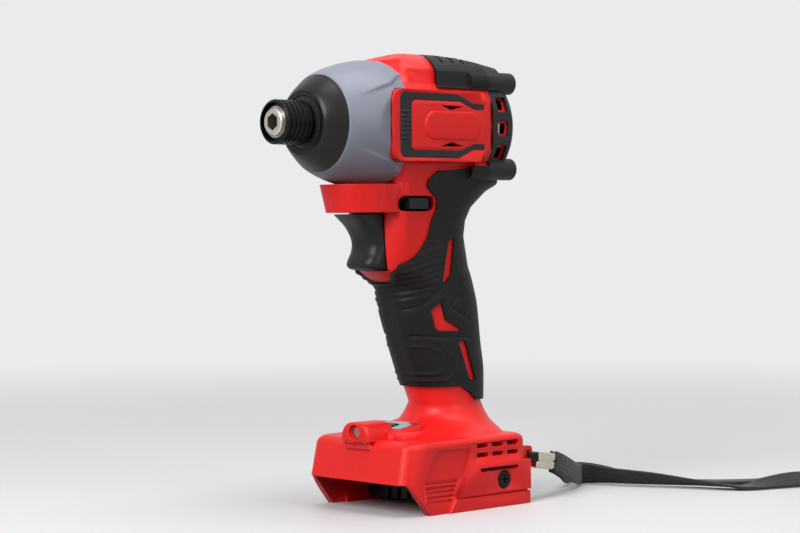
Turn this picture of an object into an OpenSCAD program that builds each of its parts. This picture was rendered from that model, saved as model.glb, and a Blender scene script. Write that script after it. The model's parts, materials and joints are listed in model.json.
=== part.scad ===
// Cordless impact driver, bare tool: nose along +X, left side +Y, standing on its foot at z = 0

/* [Nose] */
// Diameter of the bit sleeve
sleeve_d = 19.4; // [18.6:0.1:21]
// Length of the bit sleeve
sleeve_l = 15.7; // [15:0.1:18]
// Forward travel of the bit sleeve
sleeve_travel = 4; // [3:0.1:4.5]
// Gap between the sleeve and the bumper
neck_gap = 1; // [0.6:0.1:2]
// Diameter of the bumper's front face
bumper_tip_d = 28.4; // [27:0.1:31]
// Diameter where the bumper meets the nose cover
bumper_d = 42.6; // [40:0.1:45]
// Length of the bumper
bumper_l = 8.6; // [7.5:0.1:10]
// How far the nose cover stands out past the barrel
nose_over = 0.4; // [0.2:0.1:0.8]
// Length of the nose cover
nose_l = 30.7; // [29:0.1:33]
// Wall of the nose cover
nose_wall = 2.6; // [2:0.1:2.8]

/* [Barrel] */
// Height of the drive axis above the standing face
axis_z = 172; // [169:1:176]
// Diameter of the motor barrel
barrel_d = 56; // [52:0.5:60]
// Wall of the motor barrel
barrel_wall = 3; // [2.6:0.1:3.2]
// Length of the motor barrel
barrel_l = 51.5; // [50:0.5:58]
// Length of the rear cover
rear_l = 18.8; // [17:0.1:22]
// Depth of the flats on the barrel's sides
flat_cut = 2.4; // [2:0.1:2.6]
// Rise of the top hump above the barrel
hump_rise = 4.6; // [4:0.1:6]
// Thickness of the raised side panel
panel_t = 1.4; // [1:0.1:2]
// Length of the side panel
panel_l = 59.8; // [57:0.1:60.5]
// Height of the side panel
panel_h = 31.6; // [29:0.1:32]
// Width of the dark inlay in the side panel
inlay_w = 3.4; // [2.6:0.1:4]
// Diameter of the rear screw bosses
boss_d = 10; // [9:0.1:10.6]

/* [Grip] */
// Width of the grip at the palm
grip_w = 34; // [32:0.5:36]
// Fore and aft depth of the grip at the palm
palm_depth = 45; // [43:0.5:47]
// Fore and aft depth of the grip near the foot
low_depth = 38; // [36:0.5:40]
// Lean of the grip from the vertical
grip_rake = 13; // [11:0.5:15]
// Wall of the grip housing
grip_wall = 2.6; // [2.2:0.1:3]
// Thickness of the soft overmould
soft_t = 1; // [0.8:0.1:1.4]
// Length of the bracket over the trigger, from the barrel's front face
bracket_l = 24; // [23:0.5:26]
// Height of the bracket over the trigger
bracket_h = 12.5; // [11.5:0.5:13.5]

/* [Foot] */
// Width of the foot
foot_w = 68; // [66:0.5:72]
// Length of the foot
foot_l = 75; // [73:0.5:79]
// Height of the foot's top edge
foot_h = 32; // [31:0.5:34]
// Height of the visor's lower edge
visor_z = 14; // [13:0.1:15]
// Wall of the foot beside the battery bay
bay_wall = 3.5; // [3.2:0.1:4]
// Height of the battery bay
bay_h = 17; // [16.5:0.5:18]
// Reach of the battery rails into the bay
rail_w = 2.5; // [2:0.1:3]
// Height of the battery rails
rail_h = 5; // [4:0.1:5.5]
// Thread diameter of the belt-hook insert
hook_thread_d = 4; // [3:0.5:5]

/* [Controls] */
// Travel of the trigger
trigger_travel = 6; // [5:0.5:7]
// Width of the trigger
trigger_w = 20; // [18:0.5:22]
// Reach of the trigger in front of the grip
trigger_reach = 15; // [14:0.1:16]
// Swing of the direction lever each way
lever_swing = 8; // [6:0.5:8.5]
// Travel of the mode button
button_travel = 0.6; // [0.4:0.1:0.8]
// Diameter of the work-light lens
lens_d = 5.6; // [5:0.1:6.4]

/* [Drive] */
// Diameter of the anvil shaft
anvil_d = 12; // [11.6:0.1:12.4]
// Width across the flats of the bit socket
hex_af = 6.5; // [6.4:0.05:6.6]
// Depth of the bit socket
hex_depth = 28; // [26:0.5:30]
// Running clearance on shafts and sleeves
run_fit = 0.06; // [0.03:0.01:0.09]
// Teeth on the motor pinion
sun_t = 9;
// Teeth on each planet gear
planet_t = 21;
// Width of the gears
gear_w = 6; // [5:0.5:6.5]
// Wall of the ring gear behind its teeth
ring_wall = 1.7; // [1.4:0.1:2]
// Gap between the hammer and its case
hammer_gap = 1.2; // [0.8:0.1:1.6]
// Backward travel of the hammer
hammer_travel = 7; // [5:0.5:7]
// Diameter of the spindle shaft
spindle_d = 14; // [13:0.5:15]
// Diameter of the motor shaft
motor_shaft_d = 5; // [4.6:0.1:5.4]
// Length of the stator stack
stator_l = 16; // [14:0.5:17]
// Diameter of the rotor
rotor_d = 23; // [21:0.5:24]

/* [Strap] */
// Width of the strap webbing
strap_w = 10;
// Thickness of the strap webbing
strap_t = 1.6;

/* [Hidden] */
$fn = 48;

// Overlap of cutters past the faces that they cut
over = 1;
// Gap between pieces that are fastened together
fit = 0.2;
// Gap round pieces that move
clear = 0.4;

// Stations along the axis, front to rear
total_l = sleeve_l + neck_gap + bumper_l + nose_l + barrel_l + rear_l;
tip_x = total_l / 2;
bumper_x = tip_x - sleeve_l - neck_gap;
nose_x = bumper_x - bumper_l;
face_x = nose_x - nose_l;
rear_x = face_x - barrel_l;
end_x = rear_x - rear_l;

barrel_r = barrel_d / 2;
nose_r = barrel_r + nose_over;
bore_r = barrel_r - barrel_wall;
case_r = nose_r - nose_wall - fit;
flat_y = barrel_r - flat_cut;
function barrel_y(z) = sqrt(barrel_r * barrel_r - (axis_z - z) * (axis_z - z));

// Side panel: it reaches over the nose cover, and its middle lies a little below the axis
panel_y = flat_y + panel_t;
panel_mid = axis_z - 1;
panel_x1 = face_x + 10.5;
panel_x0 = panel_x1 - panel_l;
panel_corner = 6;

// Bracket and grip heights
bracket_z1 = axis_z - nose_r + 1.8;
bracket_z0 = bracket_z1 - bracket_h;
palm_z = axis_z - 81;
web_z = axis_z - 50;
neck_z = foot_h + 14;
low_z = neck_z + 12;

// Grip middle line and section edges
grip_x = face_x - 35;
function grip_mid(z) = grip_x - (palm_z - z) * tan(grip_rake);
palm_f = grip_mid(palm_z) + palm_depth / 2;
palm_r = grip_mid(palm_z) - palm_depth / 2;
low_f = grip_mid(low_z) + low_depth / 2;
low_r = grip_mid(low_z) - low_depth / 2;
recess_x = face_x + 2.2;
web_r = palm_r + 8;
tail_r = end_x + 1.5;
grip_b = grip_w / 2;
grip_top = axis_z - 19;

// Foot edges
foot_f = face_x + 9;
foot_r = foot_f - foot_l;
foot_b = foot_w / 2;
bay_b = foot_b - bay_wall;
edge_r = 3;
foot_corner = 7;

// Sections of the grip and foot: height, front, rear, half width, front and rear corner reach, side reach
function grip_sections(g) = [
    [foot_h - 1, foot_f - 12, foot_r + 0.8, foot_b - 2, 28, 20, 22],
    [foot_h + 1, foot_f - 18, foot_r + 1, foot_b - 4.5, 25, 20, 22],
    [foot_h + 3, foot_f - 24.5, foot_r + 1.4, foot_b - 8.5, 22, 19, 20],
    [foot_h + 6, low_f - 1.6, foot_r + 2, grip_b + 3.5, 18, 18, 17.5],
    [foot_h + 9.7, low_f - 3.6, low_r - 1, grip_b + 1, 17, 17, 15.5],
    [neck_z, low_f - 5 + g, low_r - g, grip_b - 1.5 + g, 16, 16, 13.5],
    [low_z, low_f + g, low_r - g, grip_b - 1 + g, 17, 17, 13.5],
    [(low_z + palm_z) / 2, (low_f + palm_f) / 2 + 1 + g, (low_r + palm_r) / 2 - g, grip_b - 0.6 + g, 19,
        18, 14],
    [palm_z, palm_f + 1 + g, palm_r - g, grip_b - 0.5 + g, 20, 18, 14],
    [palm_z + 8, palm_f + 2.4 + g, palm_r + 1.8 - g, grip_b - 0.5 + g, 20, 18, 15],
    [palm_z + 13, palm_f + 10 + g, palm_r + 3.4 - g, grip_b - 0.4 + g, 18, 18, 15.5],
    [palm_z + 17, recess_x, palm_r + 4.8 - g, grip_b - 0.3 + g, 13, 19, 16],
    [web_z, recess_x, web_r - g, grip_b + 0.6 + g, 8, 20, 16.5],
    [web_z + 7, recess_x, web_r - 0.4 - g, grip_b + 1.2 + g, 8, 20, 16],
    [web_z + 13, recess_x, web_r - 3.2 - g, grip_b + 2 + g, 8, 20, 16],
    [web_z + 20, recess_x, rear_x - rear_l / 2 - g, grip_b + 2.8 + g, 8, 24, 14],
    [web_z + 24.5, recess_x, tail_r - g, grip_b + 3.2 + g, 8, 24, 14],
    [grip_top, recess_x, tail_r - g, barrel_y(grip_top) + g, 8, 24, 10]];

// Place of the neck in that list: the hollow and the soft grip start there
neck_i = 5;
last_i = len(grip_sections(0)) - 1;

// Half of one section, from the rear middle round the left side to the front middle
function half_ring(s, seam, n) = concat([[s[2], seam, s[0]]],
    [for (i = [0 : n]) [s[2] + s[5] * (1 - cos(90 * i / n)), s[3] - s[6] * (1 - sin(90 * i / n)), s[0]]],
    [for (i = [0 : n]) [s[1] - s[4] * (1 - sin(90 * i / n)), s[3] - s[6] * (1 - cos(90 * i / n)), s[0]]],
    [[s[1], seam, s[0]]]);

// Left half of a body lofted through a list of sections
module half_loft(sections, seam = 0, n = 7) {
    rings = [for (s = sections) half_ring(s, seam, n)];
    m = len(rings[0]);
    k = len(rings);
    sides = [for (j = [0 : k - 2], i = [0 : m - 2]) each [
        [j * m + i + 1, (j + 1) * m + i + 1, (j + 1) * m + i],
        [j * m + i + 1, (j + 1) * m + i, j * m + i]]];
    seams = [for (j = [0 : k - 2]) [j * m, (j + 1) * m, (j + 1) * m + m - 1, j * m + m - 1]];
    caps = [[for (i = [m - 1 : -1 : 0]) i], [for (i = [0 : m - 1]) (k - 1) * m + i]];
    polyhedron([for (r = rings) each r], concat(sides, seams, caps), convexity = 6);
}

// Points of a rectangle with round corners
function round_rect(x0, x1, y0, y1, r, n = 5) = [for (c = [0 : 3], i = [0 : n])
    let (a = 90 * c + 90 * i / n)
    [(c == 0 || c == 3 ? x1 - r : x0 + r) + r * cos(a), (c < 2 ? y1 - r : y0 + r) + r * sin(a)]];

// Points of a list moved to another origin
function at(o, points) = [for (p = points) o + p];

// Frames for pieces turned about the drive axis, side outlines and cross sections
module ax(x) translate([x, 0, axis_z]) rotate([0, 90, 0]) children();
module turned(points) ax(0) rotate_extrude($fn = 96) polygon(points);
module side(y0, y1) translate([0, y1, 0]) rotate([90, 0, 0]) linear_extrude(y1 - y0) children();
module cross(x0, x1) translate([x0, 0, 0]) rotate([90, 0, 90]) linear_extrude(x1 - x0) children();
module plan(z0, z1) translate([0, 0, z0]) linear_extrude(z1 - z0) children();
module tube(x0, x1, r_out, r_in) turned([[r_in, x0], [r_out, x0], [r_out, x1], [r_in, x1]]);
module other_side() mirror([0, 1, 0]) children();
module both() {
    children();
    other_side() children();
}

red = [0.86, 0.09, 0.08];
black = [0.12, 0.12, 0.13];
grey = [0.53, 0.55, 0.61];
steel = [0.7, 0.71, 0.73];
alloy = [0.62, 0.63, 0.65];
copper = [0.72, 0.42, 0.22];
brass = [0.78, 0.64, 0.3];
board = [0.1, 0.32, 0.16];

// Housing halves

hump_front = face_x - 4;
hump_top = axis_z + barrel_r + hump_rise;
hump_b = 0.786 * barrel_r;
hump_low = axis_z + sqrt(barrel_r * barrel_r - hump_b * hump_b);
pad_x1 = face_x - 28.4;
pad_b = hump_b + 2;
pad_low = hump_low - 1.1;
pad_slant = 0.37;
pad_rear_z = axis_z + barrel_r + over;
pad_fall = 0.3;

// Spigot of the housing inside the rear cover, and the posts for the cover's screws
spigot_l = 11;
spigot_r = bore_r + 0.8;
post_l = 8;
post_d = boss_d - 2.6;
boss_ring = barrel_r - fit;
boss_y = boss_ring * sin(45);
boss_z = boss_ring * cos(45);

// Cross section of the hump on the barrel's crown: an arc from the middle to a steep skirt
crown = [[0, 0], [5, 0.35], [10, 1.6], [14, 3.4], [17.5, 5.7], [19.6, 7.6], [20.6, 8.8]];
function crown_half(b) = [for (p = crown) [p[0] * b / hump_b, hump_top - p[1]]];
module hump_section(b, low) {
    half = concat(crown_half(b), [[b - 0.6, low + 1], [b, low]]);
    polygon(concat([for (i = [len(half) - 1 : -1 : 1]) [-half[i][0], half[i][1]]], half));
}

// Side outline of the hump: a rising front, a level crown and a falling rear
module hump_side() polygon([[rear_x, axis_z], [hump_front, axis_z], [hump_front, axis_z + nose_r + 0.3],
    [hump_front - 17, hump_top + over], [pad_x1 - 5, hump_top + over], [pad_x1 - 5, hump_top],
    [pad_x1 - 14.6, hump_top - 1.5], [rear_x, pad_rear_z]]);

// Front edge of the pad on the hump, swept back towards the middle
module pad_front(g) polygon([[rear_x, -barrel_d], [pad_x1 + g + pad_slant * barrel_d, -barrel_d],
    [pad_x1 + g, 0],
    [pad_x1 + g + pad_slant * barrel_d, barrel_d], [rear_x, barrel_d]]);

// Outline of the soft grip seen from the side
soft_top = panel_mid - panel_h / 2 - over;
module soft_outline() polygon(concat(at([face_x, axis_z], [[-45.3, -18.2], [-35.7, -19.8], [-22.1, -20.7],
    [-16.4, -24.8], [-15.8, -27.8], [-18.9, -30.8], [-22, -33], [-22.4, -38.2], [-19.8, -43.4], [-18.1,
        -50.1],
    [-14.5, -55.2], [-10.8, -58.8], [-3.6, -62.1], [-0.7, -67], [0.2, -69.5], [13, -72]]), at([face_x,
        low_z], [[13, -4.5], [-40, -4.2], [-46, -8],
    [-50, -11], [-80, -11.5]]), [[face_x - 80, soft_top]]));

// Outlines of the windows through the soft grip
module soft_windows() {
    polygon(at([face_x, axis_z], [[-35, -50.3], [-30.9, -52.5], [-28, -70.1], [-29.4, -71.1], [-33,
        -67.1]]));
    polygon(at([face_x, palm_z], [[-30.6, 3.9], [-21.8, -2.2], [-24.3, -10.4], [-26.5, -11.5], [-38.9, -12],
        [-38.9, -11], [-30.1, -6.9], [-27.5, 0.8]]));
    polygon(at([face_x, palm_z], [[-37.5, -16.7], [-42, -16.9], [-49, -34.6], [-44.9, -34.3]]));
    polygon([[palm_r - 4, palm_z + 6.5], [palm_r + 2.8, palm_z + 7.5], [palm_r + 3.4, palm_z + 11.8],
        [palm_r - 4, palm_z + 13]]);
    polygon([[palm_r - 4, palm_z - 11.6], [palm_r + 1.2, palm_z - 11], [palm_r + 1.4, palm_z - 7.6],
        [palm_r - 4, palm_z - 6.6]]);
}

// Bracket over the trigger: a prow under the nose cover
bracket_sections = [
    [bracket_z0, face_x + bracket_l - 2.4, grip_x, grip_b + 0.2, 22, 6, 17],
    [bracket_z1, face_x + bracket_l, grip_x, grip_b + 1.6, 22, 6, 17]];

// Screw places on the housing, seen from the side
screw_r = 1.5;
screw_places = [[face_x + 13, bracket_z0 + 6.5], [web_r + 7, bracket_z0 + 6.9], [palm_f - 11, palm_z - 2],
    [low_r + 12, low_z + 10], [foot_f - 9, foot_h - 6.5], [foot_r + 7.5, foot_h - 6.5]];

// Foot body, belt-hook place and slanted legs
bay_x0 = foot_r + 4;
foot_z1 = foot_h - 2.5;
front_draft = 2.6;
insert_r = hook_thread_d / 2 + 1.2;
insert_l = 2.9;
hook_x = foot_r + 18;
hook_z = 12.2;
hook_seat = foot_b - clear;
pad_t = 1.6;
function foot_front(z) = foot_f + front_draft
    - max(0, z - visor_z) * (front_draft + 1.6) / (foot_h - visor_z);
function foot_row(z, d) = [z, foot_front(z) - d, foot_r + d, foot_b - d, foot_corner + 4, foot_corner,
    foot_corner];
module foot_half() half_loft(concat([foot_row(0, 0), foot_row(visor_z, 0)], [for (i = [0 : 4])
    foot_row(foot_h - edge_r + edge_r * sin(22.5 * i), edge_r * (1 - cos(22.5 * i)))]));

// Visor front cut back below its edge so that the legs slope
module leg_cut() side(-over, foot_b + over) polygon([[foot_f - 12, -over], [foot_f - 12, 0],
    [foot_f - 0.5, visor_z], [foot_f + 4 * over, visor_z], [foot_f + 4 * over, -over]]);

// Battery bay, open to the front below the visor
visor_t = 3;
module bay_cut() {
    translate([bay_x0, -over, -over]) cube([foot_f - visor_t - bay_x0, bay_b + over, bay_h + over]);
    translate([bay_x0, -over, -over]) cube([foot_l, bay_b + over, visor_z + over]);
}

// Pad on the side of the foot that takes the belt hook, and the band along its lower edge
module hook_pad() {
    side(foot_b - foot_corner, foot_b + pad_t) polygon([[foot_r + 36.3, 20.2], [foot_r + 46.8, 6.6],
        [foot_r + 0.8, 6.6], [foot_r + 0.8, 20.2]]);
    side(foot_b - foot_corner, foot_b + pad_t - clear) polygon([[foot_r + 47.6, 5.6], [foot_r + 52, 0],
        [foot_r + 0.8, 0], [foot_r + 0.8, 5.6]]);
    side(foot_b - foot_corner, foot_b - clear) polygon(round_rect(foot_r + 0.8, foot_r + 10, 4, 8, 1));
}

// Light pod with its ledge, and the control plateau on top of the foot
pod_z = foot_h + 3.2;
pod_b = 8;
plateau_z = foot_h + 3.2;
module pod_half() {
    cross(foot_f - 14, foot_f + 0.6) polygon([[0, foot_h - 4], [pod_b, foot_h - 4], [pod_b, foot_h + 0.6],
        [pod_b - 1.6, pod_z + 3.4], [0, pod_z + 3.4]]);
    translate([foot_f - 4, 0, foot_h - 1.4]) cube([5.8, pod_b - clear, 1.6]);
    cross(foot_f - 36, foot_f - 10) polygon([[0, foot_h - 4], [17, foot_h - 4], [14.2, plateau_z], [0,
        plateau_z]]);
}

module strap_tab() difference() {
    side(foot_b - 9, foot_b - 3) polygon(round_rect(foot_r - 5, foot_r + 2, 15.5, 25.5, 2));
    side(foot_b - 10, foot_b - 2) polygon(round_rect(foot_r - 3.4, foot_r - 1.2, 17.6, 23.4, 1));
}

// Side vents: three windows in the rear cover over smaller ones in the spigot
vent_mid = axis_z - 1.3;
vent_pitch = 10.9;
vent_x0 = rear_x - 9.7;
vent_x1 = rear_x - 2.9;
vent_b = 3.3;
vent_lip = 0.9;
module vents_3(y0, y1, lip) for (k = [-1 : 1]) side(y0, y1) translate([0, vent_mid + vent_pitch * k])
    polygon(round_rect(vent_x0 + lip, vent_x1 - lip, -vent_b + lip, vent_b - lip, 0.6, 2));

// Room that the rear cover takes behind the barrel, over the grip's tail
module tail_room() {
    ax(end_x - over) cylinder(h = rear_l + over, r = barrel_r + fit, $fn = 96);
    translate([0, boss_y, -boss_z]) ax(end_x - over) cylinder(h = rear_l + over, d = boss_d + 2 * fit);
}

module housing_shell() {
    difference() {
        ax(rear_x) rotate_extrude(angle = 180, $fn = 96) square([barrel_r, barrel_l]);
        translate([rear_x - over, flat_y, axis_z - barrel_r]) cube([barrel_l + 2 * over, barrel_r,
            barrel_d]);
    }
    ax(rear_x - spigot_l) rotate_extrude(angle = 180, $fn = 96) square([spigot_r, spigot_l + over]);
    difference() {
        intersection() {
            cross(rear_x, hump_front) intersection() {
                hump_section(hump_b, hump_low);
                translate([0, axis_z]) square(barrel_d);
            }
            side(0, barrel_r) hump_side();
        }
        plan(axis_z, hump_top + over) pad_front(fit);
    }
    difference() {
        side(bore_r - 8, panel_y) polygon(round_rect(panel_x0, panel_x1, panel_mid - panel_h / 2,
            panel_mid + panel_h / 2, panel_corner));
        nose_room();
    }
    for (s = [-1, 1]) translate([0, boss_y, s * boss_z]) ax(rear_x) cylinder(h = post_l, d = post_d);
    half_loft(bracket_sections);
    difference() {
        half_loft(grip_sections(0));
        tail_room();
    }
    foot_half();
    pod_half();
    hook_pad();
}

// Room that the nose cover and the hammer case take in front of the barrel
module nose_room() turned([[0, face_x], [case_r + fit, face_x], [case_r + fit, nose_x], [0, nose_x]]);

// Room for the trigger and the sweep of the direction lever's ends
trigger_h = 26;
trigger_b = trigger_w / 2 + clear;
lever_x = face_x - 27;
lever_y = grip_b + 3.4;
lever_rear = face_x - 17.4;
lever_front = face_x - 6;
lever_sweep = lever_y * sin(lever_swing);

module housing_cuts() {
    ax(rear_x - spigot_l - over) cylinder(h = barrel_l + spigot_l + 2 * over, r = bore_r, $fn = 96);
    half_loft([for (s = [for (i = [neck_i : last_i - 1]) grip_sections(0)[i]])
        [s[0], s[1] - grip_wall, max(s[2], s[0] > web_z ? web_r : low_r) + grip_wall, s[3] - grip_wall,
            s[4] - grip_wall,
            s[5] - grip_wall, s[6] - grip_wall]], seam = -over, n = 4);
    translate([face_x, -over, bracket_z1])
        cube([nose_l, barrel_r, panel_mid - panel_h / 2 - bracket_z1 - over]);
    bay_cut();
    leg_cut();
    translate([foot_r + 4, -over, bay_h + 2.4]) cube([foot_l - 8, bay_b - 2 + over, foot_z1 - bay_h - 4.4]);
    translate([low_f - 23, -over, bay_h + 4]) cube([14, 9 + over, neck_z - bay_h]);
    translate([recess_x - 2 * trigger_travel - 2, -over, bracket_z0 - trigger_h])
        cube([2 * trigger_travel + 10, trigger_b + over, trigger_h - clear]);
    translate([recess_x - 3, -over, bracket_z0 - trigger_h + 1.5]) cube([30, trigger_b + over,
        trigger_h - 1.5]);
    side(grip_b - 8, grip_b + 6) polygon(round_rect(lever_rear - lever_sweep - 1.2,
        lever_front + lever_sweep + 2.4,
        bracket_z0 + 0.4, bracket_z0 + 7.2, 3.3));
    translate([lever_x - 5, -over, bracket_z0 - 3]) cube([30, grip_b - 2, 9.5]);
    vents_3(bore_r - 8, bore_r + 6, vent_lip);
    inlay(inlay_depth, 0);
    for (s = [-1, 1]) side(bore_r - 8, panel_y + over) polygon(at([face_x, panel_mid], [[-18, 9.2 * s],
        [-33, 8.9 * s], [-25, 7 * s]]));
    for (s = [-1, 1]) translate([0, boss_y, s * boss_z]) ax(rear_x - over)
        cylinder(h = post_l + over, r = screw_r + fit / 2);
    side(foot_b - 9, foot_b + 4) {
        for (i = [0 : 2], j = [0, 1]) translate([foot_r + 7.5 + 9.6 * i, 23 + 4.2 * j])
            polygon(round_rect(0, 7, 0, 2, 0.6, 2));
        translate([foot_r + 9, 16.6]) square([24, 1.6]);
    }
    side(foot_b - 0.7, foot_b + 4) polygon(at([face_x, 0], [[-7.8, 28], [-28, 27.6], [-23.4, 15.9],
        [-0.2, 17]]));
    for (i = [0 : 4]) side(foot_b - 0.7, foot_b + 4) translate([face_x - 19.2 + 0.9 * i, 13.4 - 2.1 * i])
        square([19.6 - 1.4 * i, 1]);
    translate([hook_x, foot_b + pad_t + over, hook_z]) rotate([90, 0, 0]) {
        cylinder(h = pad_t + bay_wall + 2 * over, r = insert_r + fit / 4);
        cylinder(h = foot_b + pad_t + over - hook_seat, r = 4.4);
    }
    lens_room();
    panel_room();
}

// Hollow for the lens in the light pod
module lens_room() {
    translate([foot_f - 6, 0, pod_z]) rotate([0, 90, 0]) cylinder(h = 8, d = lens_d + fit);
    translate([foot_f - 12, -over, pod_z - 4.2]) cube([8, 6 + over, 7]);
}

// Recess for the control panel: its sides are swept back beside the grip
panel_depth = 1.4;
function panel_outline(g) = at([foot_f, 0], [for (s = [1, -1], p = s > 0 ? [[-12.5 - g, 6], [-16 - g,
    12.2 - g],
    [-27 + g, 12.2 - g], [-25.5 + g, 6]] : [[-25.5 + g, 6], [-27 + g, 12.2 - g], [-16 - g, 12.2 - g],
    [-12.5 - g, 6]]) [p[0], s * p[1]]]);
module panel_room() plan(plateau_z - panel_depth, plateau_z + over) polygon(panel_outline(0));

inlay_depth = 1.2;
// Dark inlay in the side panel: a front bar with two arms that bend towards each other at the rear
inlay_bar = 7;
inlay_front = panel_x1 - 4.2;
inlay_end = panel_x0 + 3.7;
inlay_h = panel_h / 2 - 1.5;
inlay_bend = 3.9;
inlay_r = 3;
inlay_low = inlay_h - inlay_bend;
function inlay_arm(s) = concat([[inlay_front - inlay_bar + s, inlay_h - inlay_w - inlay_r / 2 + s],
    [inlay_front - inlay_bar - inlay_r / 2 + s, inlay_h - inlay_w + s], [inlay_end + 15.5,
        inlay_h - inlay_w + s],
    [inlay_end + 6.3, inlay_low - inlay_w + 0.6 + s], [inlay_end + s, inlay_low - inlay_w + 0.6 + s],
    [inlay_end + s, inlay_low - s], [inlay_end + 6.9, inlay_low - s], [inlay_end + 16.3, inlay_h - s]],
    [for (a = [90 : -18 : 0]) [inlay_front - inlay_r + (inlay_r - s) * cos(a),
        inlay_h - inlay_r + (inlay_r - s) * sin(a)]]);
module inlay(depth, shrink) side(panel_y - depth, panel_y + (shrink > 0 ? 0 : over)) translate([0,
    panel_mid]) {
    arm = inlay_arm(shrink);
    polygon(concat(arm, [for (i = [len(arm) - 1 : -1 : 0]) [arm[i][0], -arm[i][1]]]));
}

// Screw bosses inside the housing, and the rails in the battery bay
boss_wall = 2.2;
boss_reach = grip_b - 4.4;
module inner_bosses() {
    for (p = screw_places) side(0, boss_reach) translate(p) circle(r = screw_r + boss_wall);
    difference() {
        translate([bay_x0 + over, bay_b - rail_w, 0]) cube([foot_l - 24, rail_w + over, rail_h]);
        leg_cut();
    }
}

module left_housing() color(red) {
    difference() {
        union() {
            difference() {
                housing_shell();
                housing_cuts();
            }
            inner_bosses();
        }
        for (p = screw_places) side(-over, 10) translate(p) circle(r = screw_r + fit / 4);
    }
    strap_tab();
}

module right_housing() color(red) other_side() difference() {
    union() {
        difference() {
            housing_shell();
            housing_cuts();
        }
        inner_bosses();
    }
    for (p = screw_places) {
        side(-over, foot_b + 4) translate(p) circle(r = screw_r + fit / 4);
        side(9, foot_b + 4) translate(p) circle(r = 3.2);
    }
}

// Soft grip: a skin over the grip and the underside of the barrel
module grip_half() intersection() {
    difference() {
        union() {
            half_loft([for (i = [neck_i : last_i]) grip_sections(soft_t)[i]]);
            ax(rear_x) rotate_extrude(angle = 180, $fn = 96) square([barrel_r + soft_t, barrel_l - 15]);
            translate([0, boss_y, -boss_z]) ax(rear_x) cylinder(h = post_l + 3, d = boss_d);
        }
        half_loft([for (i = [neck_i - 1 : last_i]) grip_sections(0)[i]], seam = -over);
        ax(rear_x - over) cylinder(h = barrel_l + over, r = barrel_r, $fn = 96);
        translate([0, boss_y, -boss_z]) ax(rear_x - over) cylinder(h = post_l + 2 * over,
            d = post_d + 2 * fit);
        tail_room();
        side(0, barrel_r) soft_windows();
    }
    side(0, barrel_r + 4) soft_outline();
}

module left_grip() color(black) grip_half();
module right_grip() color(black) other_side() grip_half();

// Pad on the rear of the hump, with grooves across its crown that run beside its swept front edge
groove_n = 3;
groove_w = 1.3;
groove_p = 6.6;
groove_t = 0.9;
module pad_form() difference() {
    union() {
        intersection() {
            cross(rear_x, hump_front) hump_section(pad_b, pad_low);
            side(-barrel_r, barrel_r) hump_side();
            plan(axis_z, hump_top + over) pad_front(0);
        }
        both() translate([0, boss_y, boss_z]) ax(rear_x) cylinder(h = post_l + 3, d = boss_d);
    }
    ax(rear_x - over) cylinder(h = barrel_l, r = barrel_r + fit / 2, $fn = 96);
    both() {
        translate([0, boss_y, boss_z]) ax(rear_x - over) cylinder(h = post_l + 2 * over,
            d = post_d + 2 * fit);
        translate([rear_x - over, flat_y - 3, axis_z]) cube([barrel_l, barrel_r,
            panel_mid + panel_h / 2 + fit - axis_z]);
    }
}
module groove(g) difference() {
    pad_front(g);
    pad_front(g - groove_w);
}
module top_pad() color(black) difference() {
    pad_form();
    difference() {
        plan(axis_z, hump_top + over) for (i = [1 : groove_n]) groove(-groove_p * i);
        translate([0, 0, -groove_t]) pad_form();
        both() translate([rear_x - over, pad_b - 1.6, axis_z]) cube([barrel_l, barrel_r, barrel_d]);
        translate([rear_x - over, -barrel_r, axis_z]) cube([barrel_l, barrel_d, barrel_r]);
    }
}

module left_side_trim() color(black) inlay(inlay_depth, fit / 2);
module right_side_trim() color(black) other_side() inlay(inlay_depth, fit / 2);

// Rear cover with its screw bosses and side windows

cover_x = end_x + 3;
cover_edge = 7;
cover_flat = flat_y + 1.3;
seat_r = 6.5;
bearing_w = 4;
rear_bearing_x = end_x + 4;
head_room = 5;
module boss_post(x0, x1, d) ax(0) rotate_extrude() polygon([[0, x0], [d / 2 - 1.5, x0], [d / 2, x0 + 1.5],
    [d / 2, x1], [0, x1]]);
module at_bosses() for (u = [-1, 1], s = [-1, 1]) translate([0, u * boss_y, s * boss_z]) children();

module rear_cover() color(black) difference() {
    union() {
        difference() {
            turned(concat([[0, cover_x]], [for (i = [0 : 4]) [barrel_r - cover_edge * (1 - sin(22.5 * i)),
                cover_x + cover_edge * (1 - cos(22.5 * i))]], [[barrel_r, rear_x - fit], [0,
                    rear_x - fit]]));
            both() translate([cover_x - over, cover_flat, axis_z - barrel_r])
                cube([rear_l + over, barrel_r, barrel_d]);
        }
        intersection() {
            cross(cover_x + cover_edge, rear_x - fit) hump_section(pad_b, pad_low);
            side(-barrel_r, barrel_r) polygon([[cover_x, axis_z], [rear_x, axis_z], [rear_x, pad_rear_z],
                [cover_x, pad_rear_z - pad_fall * (rear_x - cover_x)]]);
        }
        at_bosses() boss_post(end_x, rear_x - fit, boss_d);
    }
    ax(rear_x - spigot_l - clear) cylinder(h = spigot_l + clear + over, r = spigot_r + fit, $fn = 96);
    difference() {
        ax(cover_x + 2.5) cylinder(h = rear_l, r = bore_r - 2, $fn = 96);
        ax(cover_x) cylinder(h = rear_bearing_x + bearing_w - cover_x, r = seat_r + 2.2);
    }
    ax(rear_bearing_x) cylinder(h = rear_l, r = seat_r + fit / 4);
    both() vents_3(flat_y - 9, barrel_r + over, 0);
    at_bosses() ax(end_x - over) {
        cylinder(h = rear_l + 2 * over, r = screw_r + fit / 2);
        cylinder(h = head_room + over, r = 3.2);
    }
}

seat_gap = 0.05;
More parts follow.
